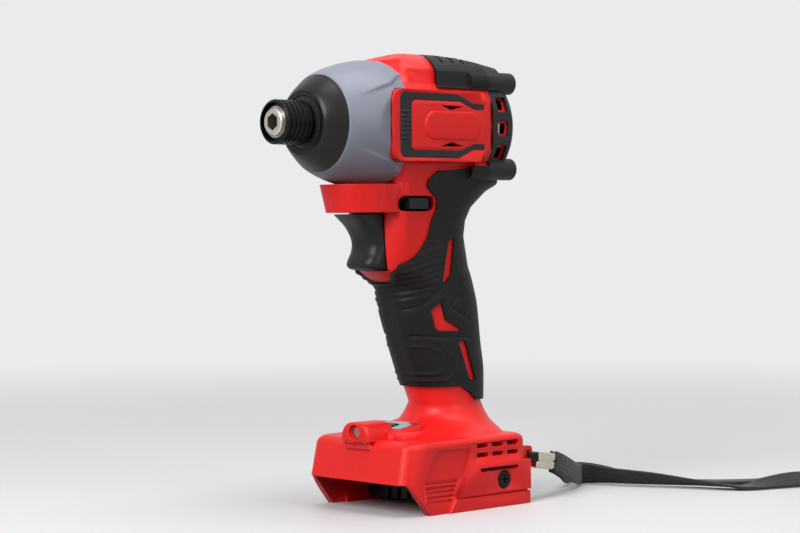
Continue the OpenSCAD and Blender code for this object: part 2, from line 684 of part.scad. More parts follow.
// Pan head screw along the local axis, with a cross slot
module screw(l, head_r) difference() {
    union() {
        cylinder(h = l, r = screw_r);
        translate([0, 0, -2.2]) cylinder(h = 2.2, r = head_r);
    }
    for (a = [0, 90]) rotate(a) translate([-1.6, -0.35, -2.2 - over]) cube([3.2, 0.7, 1.2 + over]);
}

module rear_cover_screws() color(steel) at_bosses() ax(end_x + head_room - seat_gap)
    screw(rear_l - head_room + post_l - over, 2.8);

module housing_screws() color(steel) for (p = screw_places) translate([p[0], -9 - seat_gap, p[1]])
    rotate([-90, 0, 0]) screw(18, 2.8);

// Belt-hook inserts, and the screw that closes the left one
module hook_inserts() color(brass) both() translate([hook_x, hook_seat, hook_z]) rotate([90, 0, 0])
    difference() {
        cylinder(h = insert_l, r = insert_r);
        translate([0, 0, -over]) cylinder(h = insert_l + 2 * over, d = hook_thread_d);
    }

module hook_screw() color(black) translate([hook_x, hook_seat + seat_gap, hook_z]) rotate([90, 0, 0])
    difference() {
    union() {
        cylinder(h = insert_l, d = hook_thread_d - fit);
        translate([0, 0, -1.9]) cylinder(h = 1.9, r = 3.8);
    }
    for (a = [0, 90]) rotate(a) translate([-2, -0.4, -1.9 - over]) cube([4, 0.8, 1.3 + over]);
}

// Nose: cover, bumper and hammer case

nose_flat_x = nose_x - 24;
nose_steps = 12;
nose_bulge = 1.35;
function nose_reach(t) = bumper_d / 2 + (nose_r - bumper_d / 2)
    * pow(1 - pow(1 - t, nose_bulge), 1 / nose_bulge);
case_neck_r = 11.6;
case_neck_x = bumper_x - 4.3;
case_line = [[case_neck_r, case_neck_x], [case_neck_r + 3.1, nose_x], [case_r - 3.7, nose_x - 6.7],
    [case_r, nose_x - 19.7]];

module nose_cover() color(grey) difference() {
    turned(concat([for (i = [0 : nose_steps]) [nose_reach(i / nose_steps), nose_x - (nose_x - nose_flat_x)
        * i / nose_steps]], [[nose_r, face_x + fit], [case_r + fit, face_x + fit]],
        [for (i = [3 : -1 : 1]) case_line[i] + [fit, 0]]));
    translate([face_x - over, -nose_r, axis_z - nose_r - over])
        cube([nose_l + 2 * over, 2 * nose_r, nose_r + over - (axis_z - bracket_z1) + fit]);
    both() side(flat_y - 9, nose_r + over) polygon(round_rect(panel_x0, panel_x1 + fit,
        panel_mid - panel_h / 2 - fit, panel_mid + panel_h / 2 + fit, panel_corner));
    both() translate([panel_x1, flat_y + 0.2, axis_z - nose_r]) rotate([0, 0, 9]) cube([nose_l, nose_r,
        2 * nose_r]);
    both() translate([panel_x1 - nose_l, flat_y + 0.2, panel_mid - panel_h / 2 - over])
        cube([nose_l, nose_r, panel_h + 2 * over]);
}

bumper_steps = 8;
module nose_bumper() color(black) turned(concat([[case_neck_r + fit, bumper_x]],
    [for (i = [0 : bumper_steps]) let (t = i / bumper_steps)
        [bumper_tip_d / 2 + (bumper_d - bumper_tip_d) / 2 * pow(t, 0.8),
            bumper_x - bumper_l * t + (i == bumper_steps ? fit : 0)]],
    [case_line[1] + [fit, fit], case_line[0] + [fit, 0]]));

bush_r = anvil_d / 2 + 2.6;
wall_x = face_x + 23.2;
case_in = bore_r - 2.1;
hammer_r = case_in - hammer_gap;
case_end = face_x - 25.8;
wing_r = hammer_r - 2.2;
module hammer_case() color(alloy) turned(concat([[bush_r, bumper_x - 0.3], [case_neck_r, bumper_x - 0.3]],
    case_line, [[case_r, face_x + fit], [bore_r - fit, face_x + fit], [bore_r - fit, case_end],
    [case_in, case_end], [case_in, face_x + 13], [wing_r + 2 * clear, face_x + 21], [wing_r + 2 * clear,
        wall_x],
    [bush_r, wall_x]]));

module anvil_bush() color(brass) tube(wall_x, bumper_x - 0.3, bush_r, anvil_d / 2 + run_fit);

// Bit holder: anvil, sleeve, spring, washer, ring and ball

anvil_r = anvil_d / 2;
wing_x1 = wall_x - clear;
wing_x0 = wing_x1 - 7.4;
pilot_r = 3.2;
ball_r = 1.75;
ball_x = tip_x - 10.5;
ring_x = tip_x - 1.7;
washer_t = 0.7;
ring_t = 0.8;
groove_d = 0.6;
module anvil() color(steel) difference() {
    union() {
        turned([[0, wing_x0], [9, wing_x0], [9, wing_x1], [anvil_r, wing_x1], [anvil_r, tip_x - 0.6],
            [anvil_r - 0.6, tip_x], [0, tip_x]]);
        intersection() {
            cross(wing_x0, wing_x1) translate([0, axis_z]) square([2 * wing_r, 9], center = true);
            ax(wing_x0 - over) cylinder(h = 10, r = wing_r);
        }
    }
    ax(tip_x - hex_depth) cylinder(h = hex_depth + over, d = hex_af / cos(30), $fn = 6);
    ax(wing_x0 - over) cylinder(h = 5.5 + over, r = pilot_r + run_fit);
    translate([ball_x, 0, axis_z]) rotate([-90, 0, 0]) cylinder(h = anvil_r + over, r = ball_r + 0.1);
    tube(ring_x - ring_t, ring_x, anvil_r + over, anvil_r - groove_d);
}

// Sleeve with ring ribs outside, and inside a cone that lets the ball out as the sleeve moves forward
ball_out = 1;
cone_slope = ball_out / sleeve_travel;
cone_r = anvil_r - ball_r + (ball_r + 0.08) * sqrt(1 + cone_slope * cone_slope);
land_r = anvil_r + run_fit;
land_x = ball_x + (cone_r - land_r) / cone_slope;
sleeve_x0 = tip_x - sleeve_l;
sleeve_x1 = tip_x - 0.4;
sleeve_in = sleeve_d / 2 - 1.4;
spring_x0 = land_x + 1.5;
rib_n = 5;
rib_w = 1.3;
module bit_sleeve() color(black) difference() {
    turned([[cone_r + (ball_x - sleeve_x0) * cone_slope, sleeve_x0], [sleeve_d / 2 - 0.8, sleeve_x0],
        [sleeve_d / 2, sleeve_x0 + 0.8], [sleeve_d / 2, sleeve_x1 - 0.8], [sleeve_d / 2 - 0.8, sleeve_x1],
        [sleeve_in, sleeve_x1], [sleeve_in, spring_x0], [land_r, spring_x0], [land_r, land_x]]);
    for (i = [0 : rib_n - 1]) let (x = sleeve_x0 + 2.2 + i * (sleeve_l - 5.6) / (rib_n - 1))
        tube(x, x + rib_w, sleeve_d / 2 + over, sleeve_d / 2 - 0.5);
}

// Coil spring along the axis
module coil(x0, x1, r, wire, turns, sides = 6, per_turn = 16) {
    m = ceil(turns * per_turn);
    span = x1 - x0 - 2 * wire;
    points = [for (i = [0 : m], k = [0 : sides - 1]) let (a = 360 * turns * i / m, b = 360 * k / sides,
        q = r + wire * cos(b)) [x0 + wire + span * i / m + wire * sin(b), q * cos(a), q * sin(a)]];
    walls = [for (i = [0 : m - 1], k = [0 : sides - 1]) let (n = (k + 1) % sides)
        [i * sides + k, i * sides + n, (i + 1) * sides + n, (i + 1) * sides + k]];
    ends = [[for (k = [sides - 1 : -1 : 0]) k], [for (k = [0 : sides - 1]) m * sides + k]];
    polyhedron(points, concat(walls, ends), convexity = 10);
}

module sleeve_spring() color(steel) translate([0, 0, axis_z])
    coil(spring_x0 + 0.1, ring_x - ring_t - washer_t - 0.1, anvil_r + 1.1, 0.4, 3.5);
module sleeve_washer() color(black) tube(ring_x - ring_t - washer_t, ring_x - ring_t, sleeve_in - fit,
    anvil_r + 0.05);
module snap_ring() color(steel) tube(ring_x - ring_t + 0.05, ring_x - 0.05, anvil_r + 0.9,
    anvil_r - groove_d + 0.05);
module bit_ball() color(steel) translate([ball_x, anvil_r - ball_r, axis_z]) sphere(r = ball_r);

// Hammer, its spring and washer, and the spindle that carries them

spindle_r = spindle_d / 2;
hammer_x1 = wing_x0 - 0.8;
hammer_x0 = hammer_x1 - 20.4;
flange_x1 = hammer_x0 - hammer_travel - 1;
flange_t = 3;
pocket_x = hammer_x0 + 10.5;
cam_x = pocket_x + 4.8;
cam_r = 2.7;
cam_c = spindle_r + 0.6;
cam_room = cam_c + cam_r + clear;
lug_mid = 50;
lug_half = 22;
lug_in = cam_room / cos(lug_half);
rim_r = hammer_r - 3.6;
hub_r = spindle_r + 3;
module hammer() color(steel) {
    turned([[spindle_r + run_fit, hammer_x0], [hub_r, hammer_x0], [hub_r, pocket_x], [rim_r, pocket_x],
        [rim_r, hammer_x0], [hammer_r, hammer_x0], [hammer_r, hammer_x1], [cam_room, hammer_x1],
        [cam_room, cam_x - 3.5], [spindle_r + run_fit, cam_x - 3.5]]);
    for (s = [0, 180]) cross(hammer_x1 - 0.5, wing_x1 - 1.4) translate([0, axis_z]) rotate(lug_mid + s)
        polygon([for (p = [[lug_in, -1], [wing_r, -1], [wing_r, 1], [lug_in, 1]])
            [p[0] * cos(lug_half), p[0] * sin(lug_half) * p[1]]]);
}

module hammer_spring() color(steel) translate([0, 0, axis_z])
    coil(flange_x1 + 0.1, pocket_x - 1.3, spindle_r + 5.5, 1.6, 4.5, 6, 18);
module thrust_washer() color(steel) tube(pocket_x - 1.2, pocket_x - 0.2, rim_r - 0.3, hub_r + 0.3);

// Planetary set: pinion on the motor shaft, three planets on the spindle, fixed ring gear
ring_t_count = sun_t + 2 * planet_t;
gear_m = (case_in - ring_wall) / (ring_t_count / 2 + 1);
planet_c = gear_m * (sun_t + planet_t) / 2;
gear_gap = 0.4;
planet_x1 = flange_x1 - flange_t - gear_gap / 2;
planet_x0 = planet_x1 - gear_w;
flange2_x1 = planet_x0 - gear_gap / 2;
flange2_x0 = flange2_x1 - 2.5;
flange_r = gear_m * ring_t_count / 2 - 3;
pin_r = 2;
seat1_r = 9.5;
spindle_end = flange2_x0 - 3.4;

// Straight-flanked gear outline; slim sets the share of the pitch that a tooth takes
function gear_points(t, add, ded, slim) = let (r = gear_m * t / 2, half = 90 / t * slim,
    tip = half - add * 20.9 / r, root = half + ded * 20.9 / r)
    [for (i = [0 : t - 1], p = [[-root, -ded], [-tip, add], [tip, add], [root, -ded]])
        let (a = 360 * i / t + p[0]) [(r + p[1]) * cos(a), (r + p[1]) * sin(a)]];

module planet(k) color(steel) cross(planet_x0, planet_x1) translate([0, axis_z]) rotate(120 * k)
    translate([planet_c, 0]) difference() {
        polygon(gear_points(planet_t, 0.62 * gear_m, gear_m, 0.84));
        circle(r = pin_r + run_fit);
    }
module planet_gear_1() planet(0);
module planet_gear_2() planet(1);
module planet_gear_3() planet(2);

module planet_pins() color(steel) for (k = [0 : 2]) cross(flange2_x0 + 0.2, flange_x1 - 0.2)
    translate([0, axis_z]) rotate(120 * k) translate([planet_c, 0]) circle(r = pin_r);

module ring_gear() color(steel) cross(flange2_x1, flange_x1 - flange_t) translate([0, axis_z])
    difference() {
    circle(r = case_in - 0.1, $fn = 96);
    polygon(gear_points(ring_t_count, gear_m, 0.62 * gear_m, 1.16));
}

module spindle() color(steel) difference() {
    union() {
        turned([[0, flange_x1 - flange_t], [flange_r, flange_x1 - flange_t], [flange_r, flange_x1],
            [spindle_r, flange_x1], [spindle_r, wing_x0 - clear], [pilot_r, wing_x0 - clear],
            [pilot_r, wing_x0 + 4.8], [0, wing_x0 + 4.8]]);
        turned([[0, flange2_x0], [0, flange2_x1], [flange_r, flange2_x1], [flange_r, flange2_x0],
            [6, flange2_x0], [6, spindle_end], [0, spindle_end]]);
        for (k = [0 : 2]) cross(flange2_x1 - over, flange_x1 - over) translate([0, axis_z])
            rotate(60 + 120 * k)
            translate([flange_r - 3.4, 0]) circle(r = 2.6);
    }
    ax(spindle_end - over) cylinder(h = flange_x1 - 1.2 - spindle_end + over, r = gear_m * sun_t / 2 + 1.3);
    for (k = [0 : 2]) cross(flange2_x0 - over, flange_x1 + over) translate([0, axis_z]) rotate(120 * k)
        translate([planet_c, 0]) circle(r = pin_r + 0.03);
    for (s = [-1, 1]) translate([cam_x, 0, axis_z + s * cam_c]) {
        sphere(r = cam_r + 0.06);
        for (a = [-1, 1]) rotate([0, 0, 180 + 42 * a]) rotate([0, 90, 0]) cylinder(h = 7, r = cam_r + 0.02);
    }
}

module cam_balls() color(steel) for (s = [-1, 1]) translate([cam_x, 0, axis_z + s * cam_c])
    sphere(r = cam_r);

// Bearings and the plate between gearbox and motor

plate_x1 = case_end - fit;
plate_x0 = plate_x1 - 4.2;
front_bearing_x = plate_x0 - 3.4;
module bearing(x0, x1, r_out, r_in) turned([[r_in, x0], [r_in + 1, x0], [r_in + 1.3, x0 + 0.5],
    [r_out - 1.3, x0 + 0.5],
    [r_out - 1, x0], [r_out, x0], [r_out, x1], [r_out - 1, x1], [r_out - 1.3, x1 - 0.5], [r_in + 1.3,
        x1 - 0.5],
    [r_in + 1, x1], [r_in, x1]]);
shaft_r = motor_shaft_d / 2;
module spindle_bearing() color(steel) bearing(plate_x0 + 0.8, flange2_x0 - clear, seat1_r, 6 + run_fit);
module front_bearing() color(steel) bearing(front_bearing_x, front_bearing_x + bearing_w, seat_r,
    shaft_r + run_fit);
module rear_bearing() color(steel) bearing(rear_bearing_x + 0.1, rear_bearing_x + bearing_w, seat_r,
    shaft_r + run_fit);

module gear_plate() color(black) difference() {
    turned([[0, front_bearing_x], [seat_r + 2.4, front_bearing_x], [seat_r + 2.4, plate_x0],
        [bore_r - fit, plate_x0],
        [bore_r - fit, plate_x1], [0, plate_x1]]);
    ax(plate_x0 + 0.8) cylinder(h = 10, r = seat1_r + fit / 4);
    ax(front_bearing_x - over) cylinder(h = bearing_w + over, r = seat_r + fit / 4);
    ax(front_bearing_x) cylinder(h = 10, r = gear_m * sun_t / 2 + 1.2);
}

// Motor: shaft with pinion, rotor, fan, stator core and coils

fan_x1 = front_bearing_x - 0.5;
fan_w = 4.2;
stator_x1 = fan_x1 - fan_w - 3.6;
stator_x0 = stator_x1 - stator_l;
stator_r = bore_r - 0.3;
air_gap = 0.6;
tooth_n = 6;
tooth_w = 6;
coil_t = 3.2;
coil_end = 2.4;
module motor_shaft() color(steel) {
    ax(rear_bearing_x + 0.2) cylinder(h = planet_x0 - rear_bearing_x, r = shaft_r);
    cross(planet_x0, planet_x1 + 0.2) translate([0, axis_z]) polygon(gear_points(sun_t, 0.62 * gear_m,
        gear_m, 0.8));
}
module rotor_core() color(steel) difference() {
    tube(stator_x0, stator_x1, rotor_d / 2, shaft_r + 0.02);
    for (k = [0 : 3]) ax(stator_x0 - over) rotate(90 * k) translate([rotor_d / 2 - 2.6, -3.6, 0])
        cube([1.2, 7.2, stator_l + 2 * over]);
}
fan_n = 11;
module fan() color(black) {
    tube(fan_x1 - fan_w, fan_x1, 5, shaft_r + 0.02);
    tube(fan_x1 - 1, fan_x1, bore_r - 3.5, 4.5);
    for (k = [0 : fan_n - 1]) ax(fan_x1 - fan_w) rotate(360 * k / fan_n) translate([10, -0.6, 0]) rotate(24)
        cube([bore_r - 17, 1.2, fan_w - 0.5]);
}
module tooth_ring(grow) for (k = [0 : tooth_n - 1]) rotate(360 * k / tooth_n)
    translate([rotor_d / 2 + air_gap + 2, -tooth_w / 2 - grow]) square([stator_r - rotor_d / 2 - 5,
        tooth_w + 2 * grow]);
module stator_core() color(steel) cross(stator_x0, stator_x1) translate([0, axis_z]) {
    difference() {
        circle(r = stator_r, $fn = 96);
        circle(r = stator_r - 3.6, $fn = 96);
    }
    tooth_ring(0);
    for (k = [0 : tooth_n - 1]) rotate(360 * k / tooth_n) intersection() {
        difference() {
            circle(r = rotor_d / 2 + air_gap + 2.2, $fn = 96);
            circle(r = rotor_d / 2 + air_gap, $fn = 96);
        }
        translate([0, -5.4]) square([rotor_d, 10.8]);
    }
}
module stator_coils() color(copper) for (k = [0 : tooth_n - 1]) ax(0) rotate(90 + 360 * k / tooth_n)
    difference() {
    translate([rotor_d / 2 + air_gap + 2.6, -tooth_w / 2 - coil_t, stator_x0 - coil_end])
        cube([stator_r - rotor_d / 2 - air_gap - 7.2, tooth_w + 2 * coil_t, stator_l + 2 * coil_end]);
    translate([rotor_d / 2, -tooth_w / 2 - 0.1, stator_x0 - 0.1]) cube([20, tooth_w + 0.2, stator_l + 0.2]);
}

// Switch, trigger, spring and direction lever

switch_x1 = recess_x - 2 * trigger_travel - 3;
switch_l = 26;
switch_y = 10;
trigger_z0 = bracket_z0 - trigger_h + clear;
trigger_z1 = bracket_z0 - 0.6;
trigger_x1 = recess_x + trigger_reach;
trigger_x0 = recess_x - trigger_travel;
stem_z = (trigger_z0 + trigger_z1) / 2;
stem_r = 3;
module switch_body() color(black) difference() {
    union() {
        translate([switch_x1 - switch_l, -switch_y, bracket_z0 - 27]) cube([switch_l, 2 * switch_y, 24]);
        translate([lever_x, 0, bracket_z0 - 4]) cylinder(h = 5.4, r = 2);
    }
    translate([switch_x1 - 14, 0, stem_z]) rotate([0, 90, 0]) cylinder(h = 20, r = stem_r + run_fit);
}

// Concave trigger front, swept from the bracket down to a rounded lip
trigger_dip = 6.7;
trigger_lean = 7.9;
trigger_room = 8;
function trigger_front(t) = [trigger_x1 - trigger_lean * t - trigger_dip * sin(180 * t),
    trigger_z1 - (trigger_z1 - trigger_z0 - 3) * t];
module trigger() color(black) {
    difference() {
        intersection() {
            side(-trigger_w / 2, trigger_w / 2) polygon(concat([for (i = [0 : 10]) trigger_front(i / 10)],
                [for (i = [1 : 5]) let (a = 18 * i) [trigger_front(1)[0] - 3 + 3 * cos(a),
                    trigger_front(1)[1] - 3 * sin(a)]],
                [[trigger_x0, trigger_z0], [trigger_x0, trigger_z1]]));
            plan(trigger_z0 - over, trigger_z1 + over) polygon(round_rect(trigger_x0 - 8, trigger_x1 + 0.1,
                -trigger_w / 2, trigger_w / 2, 8.5, 7));
        }
        translate([trigger_x0 - over, -trigger_w / 2 + 2.2, trigger_z0 + 2.2])
            cube([trigger_room + over, trigger_w - 4.4, trigger_z1 - trigger_z0 - 4.4]);
    }
    translate([switch_x1 - 3, 0, stem_z]) rotate([0, 90, 0])
        cylinder(h = trigger_x0 + trigger_room - switch_x1 + 4, r = stem_r);
}
module trigger_spring() color(steel) translate([0, 0, stem_z])
    coil(switch_x1 + 0.1, trigger_x0 + trigger_room - 0.1, stem_r + 1.4, 0.5, 6, 6, 12);

lever_z0 = bracket_z0 + 1.4;
lever_z1 = bracket_z0 + 6.2;
function lever_half(s) = [for (p = [[lever_rear, 2.6], [lever_rear, lever_y - 1], [lever_rear + 1, lever_y],
    [lever_front - 1, lever_y], [lever_front, lever_y - 1], [lever_front, lever_y - 5.4],
    [lever_front - 5, lever_y - 5.4]]) [p[0], s * p[1]]];
module direction_lever() color(black) difference() {
    union() {
        translate([lever_x, 0, lever_z0]) cylinder(h = lever_z1 - lever_z0, r = 4.2);
        plan(lever_z0, lever_z1) polygon(concat([[lever_x, 2.6], [lever_x, -2.6]], lever_half(-1),
            [for (i = [6 : -1 : 0]) lever_half(1)[i]]));
    }
    translate([lever_x, 0, lever_z0 - over]) cylinder(h = lever_z1 - lever_z0 + 2 * over, r = 2 + run_fit);
}

// Work light, control panel, board and battery terminals

module lens() color([0.92, 0.93, 0.95]) translate([foot_f - 4.6, 0, pod_z]) rotate([0, 90, 0])
    rotate_extrude()
    polygon(concat([[0, 0], [lens_d / 2, 0]], [for (i = [0 : 4]) [lens_d / 2 * cos(22.5 * i),
        4.2 + 1.1 * sin(22.5 * i)]]));
module light_board() color(board) translate([foot_f - 6.4, -4.5, pod_z - 3.6]) cube([1.6, 9, 6]);

button_x = foot_f - 19;
module control_panel() color([0.2, 0.21, 0.23]) difference() {
    plan(plateau_z - panel_depth + fit / 2, plateau_z) polygon(panel_outline(fit));
    plan(plateau_z - 2, plateau_z + over) translate([button_x, 0]) polygon(round_rect(-3.4, 3.4, -4.6,
        4.6, 1.6));
}
module mode_button() color(grey) plan(plateau_z - panel_depth + fit / 2 + button_travel, plateau_z + fit)
    translate([button_x, 0])
    polygon(round_rect(-3.1, 3.1, -4.3, 4.3, 1.4));

board_z = bay_h + 2.4 + fit;
module control_board() color(board) {
    translate([foot_r + 13, -20, board_z]) cube([46, 40, 1.6]);
    for (i = [0 : 2]) translate([foot_r + 18 + 12 * i, -16, board_z + 1.5]) cube([8, 9, 3]);
    translate([foot_r + 24, 8, board_z + 1.5]) cylinder(h = 5, d = 8);
}

block_l = 34;
block_x1 = bay_x0 + 6 + block_l;
block_b = bay_b - rail_w - over;
block_z = 2;
blade_n = 5;
blade_p = 6.4;
module terminal_block() color(black) difference() {
    translate([block_x1 - block_l, -block_b, block_z]) cube([block_l, 2 * block_b, bay_h - block_z - fit]);
    for (i = [0 : blade_n - 1]) translate([block_x1 - 16, (i - (blade_n - 1) / 2) * blade_p - 1.2,
        block_z - over])
        cube([16 + over, 2.4, 9 + over]);
}
module terminals() color(copper) for (i = [0 : blade_n - 1])
    translate([block_x1 - 15.8, (i - (blade_n - 1) / 2) * blade_p - 0.4, block_z + over])
        cube([14, 0.8, 7.8]);

// Strap: loop through the foot's tab, crimp and webbing

loop_z = 20;
loop_y = foot_b - 6;
loop_x = foot_r - 8.2;
module strap_loop() color(black) plan(loop_z - 2.1, loop_z + 2.1) difference() {
    polygon(round_rect(loop_x, foot_r - 1.5, loop_y - 5.2, loop_y + 5.2, 2));
    polygon(round_rect(loop_x + 1.5, foot_r - 3.1, loop_y - 3.6, loop_y + 3.6, 0.8));
}

// The crimp leans down towards the table
crimp_l = 13.5;
crimp_lean = 8.5;
crimp_z = 18.4;
module crimp_frame() translate([loop_x - 0.1, loop_y, crimp_z]) rotate([0, -crimp_lean, 0]) mirror([1, 0,
    0]) children();
module strap_crimp() color(steel) crimp_frame() {
    for (z = [-3.8, 1]) translate([0.6, -2.2, z]) cube([crimp_l - 0.6, 4.4, 2.8]);
    translate([0.6, -1.6, -1.5]) cube([crimp_l - 0.6, 3.2, 3]);
}

// Strap route from the foot's rear left corner: ring middles and the turn of the width from upright
strap_route = [for (p = [[-22, -4.6, 16.2, 0], [-29, -7, 14.2, 0], [-39, -11.6, 11, 0], [-48, -16.4, 8.2,
    0],
    [-56, -21.4, 6.2, 0], [-61, -24.6, 5.5, 0], [-64, -26, 5.2, -8], [-67, -24.6, 5.2, -15], [-71.5,
        -16.5, 4.7, -37],
    [-76.3, -4.7, 4.3, -45], [-82, 6.2, 3.8, -53], [-89.8, 20.4, 2.8, -68], [-94.4, 31.8, 2.2, -76],
    [-100, 42.4, 1.3, -86], [-106.5, 46.6, 1.6, -97], [-114.6, 49.5, 2.7, -112], [-129.3, 56, 3.6, -124],
    [-143, 64, 2.8, -112], [-155, 74, 1.4, -95], [-165, 80.5, 1.1, -90], [-175, 79, 1.1, -90], [-181.5,
        71, 1.1, -90],
    [-182, 60, 1.1, -90], [-175, 50, 1.1, -90], [-164, 43, 1.1, -90], [-151, 39.5, 1.1, -90], [-138, 38,
        1.1, -90],
    [-125, 33, 1.1, -90], [-113, 24.5, 1.1, -90], [-103, 13, 1.1, -90], [-94, 0, 1.5, -97], [-86.5, -12,
        2.7, -113],
    [-80.5, -23, 4.2, -135], [-74, -30.8, 4.9, -155], [-66, -33.4, 5.3, -170], [-57, -29.6, 5.9, -180],
    [-48, -23, 8, -180], [-39, -16.4, 10.9, -180], [-29, -10.6, 14.1, -180], [-22, -7.4, 16.2, -180]])
    [foot_r + p[0], foot_b + p[1], p[2], p[3]]];
strap_profile = [for (p = [[1, 0.4], [0.94, 1], [-0.94, 1], [-1, 0.4], [-1, -0.4], [-0.94, -1], [0.94,
    -1], [1, -0.4]])
    [p[0] * strap_w / 2, p[1] * strap_t / 2]];
function unit(v) = v / norm(v);
function strap_ring(i) = let (n = len(strap_route), a = strap_route[max(i - 1, 0)],
    b = strap_route[min(i + 1, n - 1)],
    p = strap_route[i], d = unit([b[0] - a[0], b[1] - a[1], b[2] - a[2]]), left = unit([-d[1], d[0], 0]),
    up = cross(d, left), w = cos(p[3]) * up + sin(p[3]) * left, t = cross(w, d))
    [for (q = strap_profile) [p[0], p[1], p[2]] + q[0] * w + q[1] * t];
module wrist_strap() color(black) {
    n = len(strap_route);
    m = len(strap_profile);
    walls = [for (i = [0 : n - 2], k = [0 : m - 1]) let (j = (k + 1) % m) each [
        [i * m + k, i * m + j, (i + 1) * m + j], [i * m + k, (i + 1) * m + j, (i + 1) * m + k]]];
    ends = [[for (k = [m - 1 : -1 : 0]) k], [for (k = [0 : m - 1]) (n - 1) * m + k]];
    polyhedron([for (i = [0 : n - 1]) each strap_ring(i)], concat(walls, ends), convexity = 10);
}

left_housing();
right_housing();
left_grip();
right_grip();
top_pad();
left_side_trim();
right_side_trim();
rear_cover();
rear_cover_screws();
housing_screws();
hook_screw();
hook_inserts();
nose_cover();
nose_bumper();
hammer_case();
anvil_bush();
anvil();
bit_sleeve();
sleeve_spring();
sleeve_washer();
snap_ring();
bit_ball();
hammer();
hammer_spring();
thrust_washer();
spindle();
cam_balls();
planet_gear_1();
planet_gear_2();
planet_gear_3();
planet_pins();
ring_gear();
spindle_bearing();
gear_plate();
motor_shaft();
rotor_core();
fan();
front_bearing();
rear_bearing();
stator_core();
stator_coils();
switch_body();
trigger();
trigger_spring();
direction_lever();
lens();
light_board();
control_panel();
mode_button();
control_board();
terminal_block();
terminals();
strap_loop();
strap_crimp();
wrist_strap();
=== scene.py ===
import bmesh
import bpy
import json
import math
import numpy as np
from functools import partial
from mathutils import Matrix, Vector


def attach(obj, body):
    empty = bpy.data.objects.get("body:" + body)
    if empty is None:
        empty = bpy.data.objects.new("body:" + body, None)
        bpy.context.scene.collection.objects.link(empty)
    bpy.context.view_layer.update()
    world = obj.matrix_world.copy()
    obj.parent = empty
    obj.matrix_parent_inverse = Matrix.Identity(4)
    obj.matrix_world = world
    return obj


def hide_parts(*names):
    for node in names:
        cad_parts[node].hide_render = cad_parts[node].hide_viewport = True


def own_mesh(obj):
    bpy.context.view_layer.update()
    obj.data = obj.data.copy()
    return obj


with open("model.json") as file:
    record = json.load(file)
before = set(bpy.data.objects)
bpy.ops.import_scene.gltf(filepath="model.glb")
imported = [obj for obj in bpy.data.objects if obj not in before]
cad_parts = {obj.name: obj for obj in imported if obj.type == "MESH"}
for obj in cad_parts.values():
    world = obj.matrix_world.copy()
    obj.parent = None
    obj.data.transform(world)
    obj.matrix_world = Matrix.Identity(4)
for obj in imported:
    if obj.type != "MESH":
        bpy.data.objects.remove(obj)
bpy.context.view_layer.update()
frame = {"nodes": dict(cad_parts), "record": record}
nodes = frame["nodes"]
slotOf = {p["node"]: p["material_slot"] for p in frame["record"]["subparts"]}
bodyOf = {n: body for body, members in frame["record"]["behaviour"]["bodies"].items() for n in members}
mmPerM = 1000  # pieces are drawn in mm, the frame is in metres
print("frame:", len(nodes), "nodes")

# camera at the photo's stance, in metres; roll in degrees, lens and sensor in mm
shot = {"place": (0.63759, 0.69639, 0.12829), "aim": (0.022456, 0.035638, 0.109477), "roll": -0.546, "lens": 94.63,
        "sensor": 36, "clip": (0.05, 50)}


def addObject(name, data):
    one = bpy.data.objects.new(name, data)
    bpy.context.scene.collection.objects.link(one)
    return one


def makeCamera(look):
    # frame axes: right = forward x up, both turned by the roll about the line of sight
    place, aim = Vector(look["place"]), Vector(look["aim"])
    forward = (aim - place).normalized()
    right = forward.cross(Vector((0, 0, 1))).normalized()
    up = right.cross(forward)
    roll = math.radians(look["roll"])
    side = right * math.cos(roll) + up * math.sin(roll)
    top = up * math.cos(roll) - right * math.sin(roll)
    data = bpy.data.cameras.new("photoCamera")
    data.sensor_fit, data.sensor_width, data.lens = "HORIZONTAL", look["sensor"], look["lens"]
    data.clip_start, data.clip_end = look["clip"]
    camera = addObject("photoCamera", data)
    camera.matrix_world = Matrix((side, top, -forward)).transposed().to_4x4()
    camera.location = place
    bpy.context.scene.camera = camera


makeCamera(shot)
bpy.context.scene.view_settings.view_transform = "Standard"


def hexLinear(code):
    # sRGB to linear: c/12.92 up to 0.04045, above it ((c + 0.055)/1.055)^2.4
    c = np.array([int(code[i:i + 2], 16) for i in (1, 3, 5)]) / 255
    return (*np.where(c <= 0.04045, c / 12.92, ((c + 0.055) / 1.055) ** 2.4).tolist(), 1.0)


def addNode(tree, kind, settings=None, links=None):
    # settings go to a property or an input of that name, a hex colour as linear values
    # links go to inputs, from a socket or from a node's first output
    node = tree.nodes.new("ShaderNode" + kind)
    for key, value in (settings or {}).items():
        value = hexLinear(value) if str(value).startswith("#") else value
        if isinstance(key, str) and hasattr(node, key):
            setattr(node, key, value)
        else:
            node.inputs[key].default_value = value
    for key, source in (links or {}).items():
        tree.links.new(source.outputs[0] if hasattr(source, "outputs") else source, node.inputs[key])
    return node


def newMaterial(name, build, look):
    # build puts in its nodes through add and gives back the one for the surface
    material = bpy.data.materials.new(name)
    material.use_nodes = True
    material.node_tree.nodes.clear()
    add = partial(addNode, material.node_tree)
    place = add("TexCoord").outputs["Object"]
    add("OutputMaterial", None, {"Surface": build(add, place, look)})
    return material


def perMm(size):
    return mmPerM / size  # texture scale for a feature of that many millimetres


def bandsPerMm(size):
    return perMm(size) / 6.2832  # a wave texture's band is one full turn wide at scale 1


# in every look, grain, cloud, edge, pitch and depth are in mm; a plastic or metal names only what differs from these
plastic = {"grain": 0.5, "cloud": 26, "edge": 0.4, "rub": 0.6, "bite": 0.2, "depth": 0.05, "ior": 1.53,
           "specular": 0.24, "coat": 0}
metal = {"axis": "X", "pitch": 0.5, "cloud": 5, "edge": 0.25, "bite": 0.12, "depth": 0.02, "metal": 1.0}


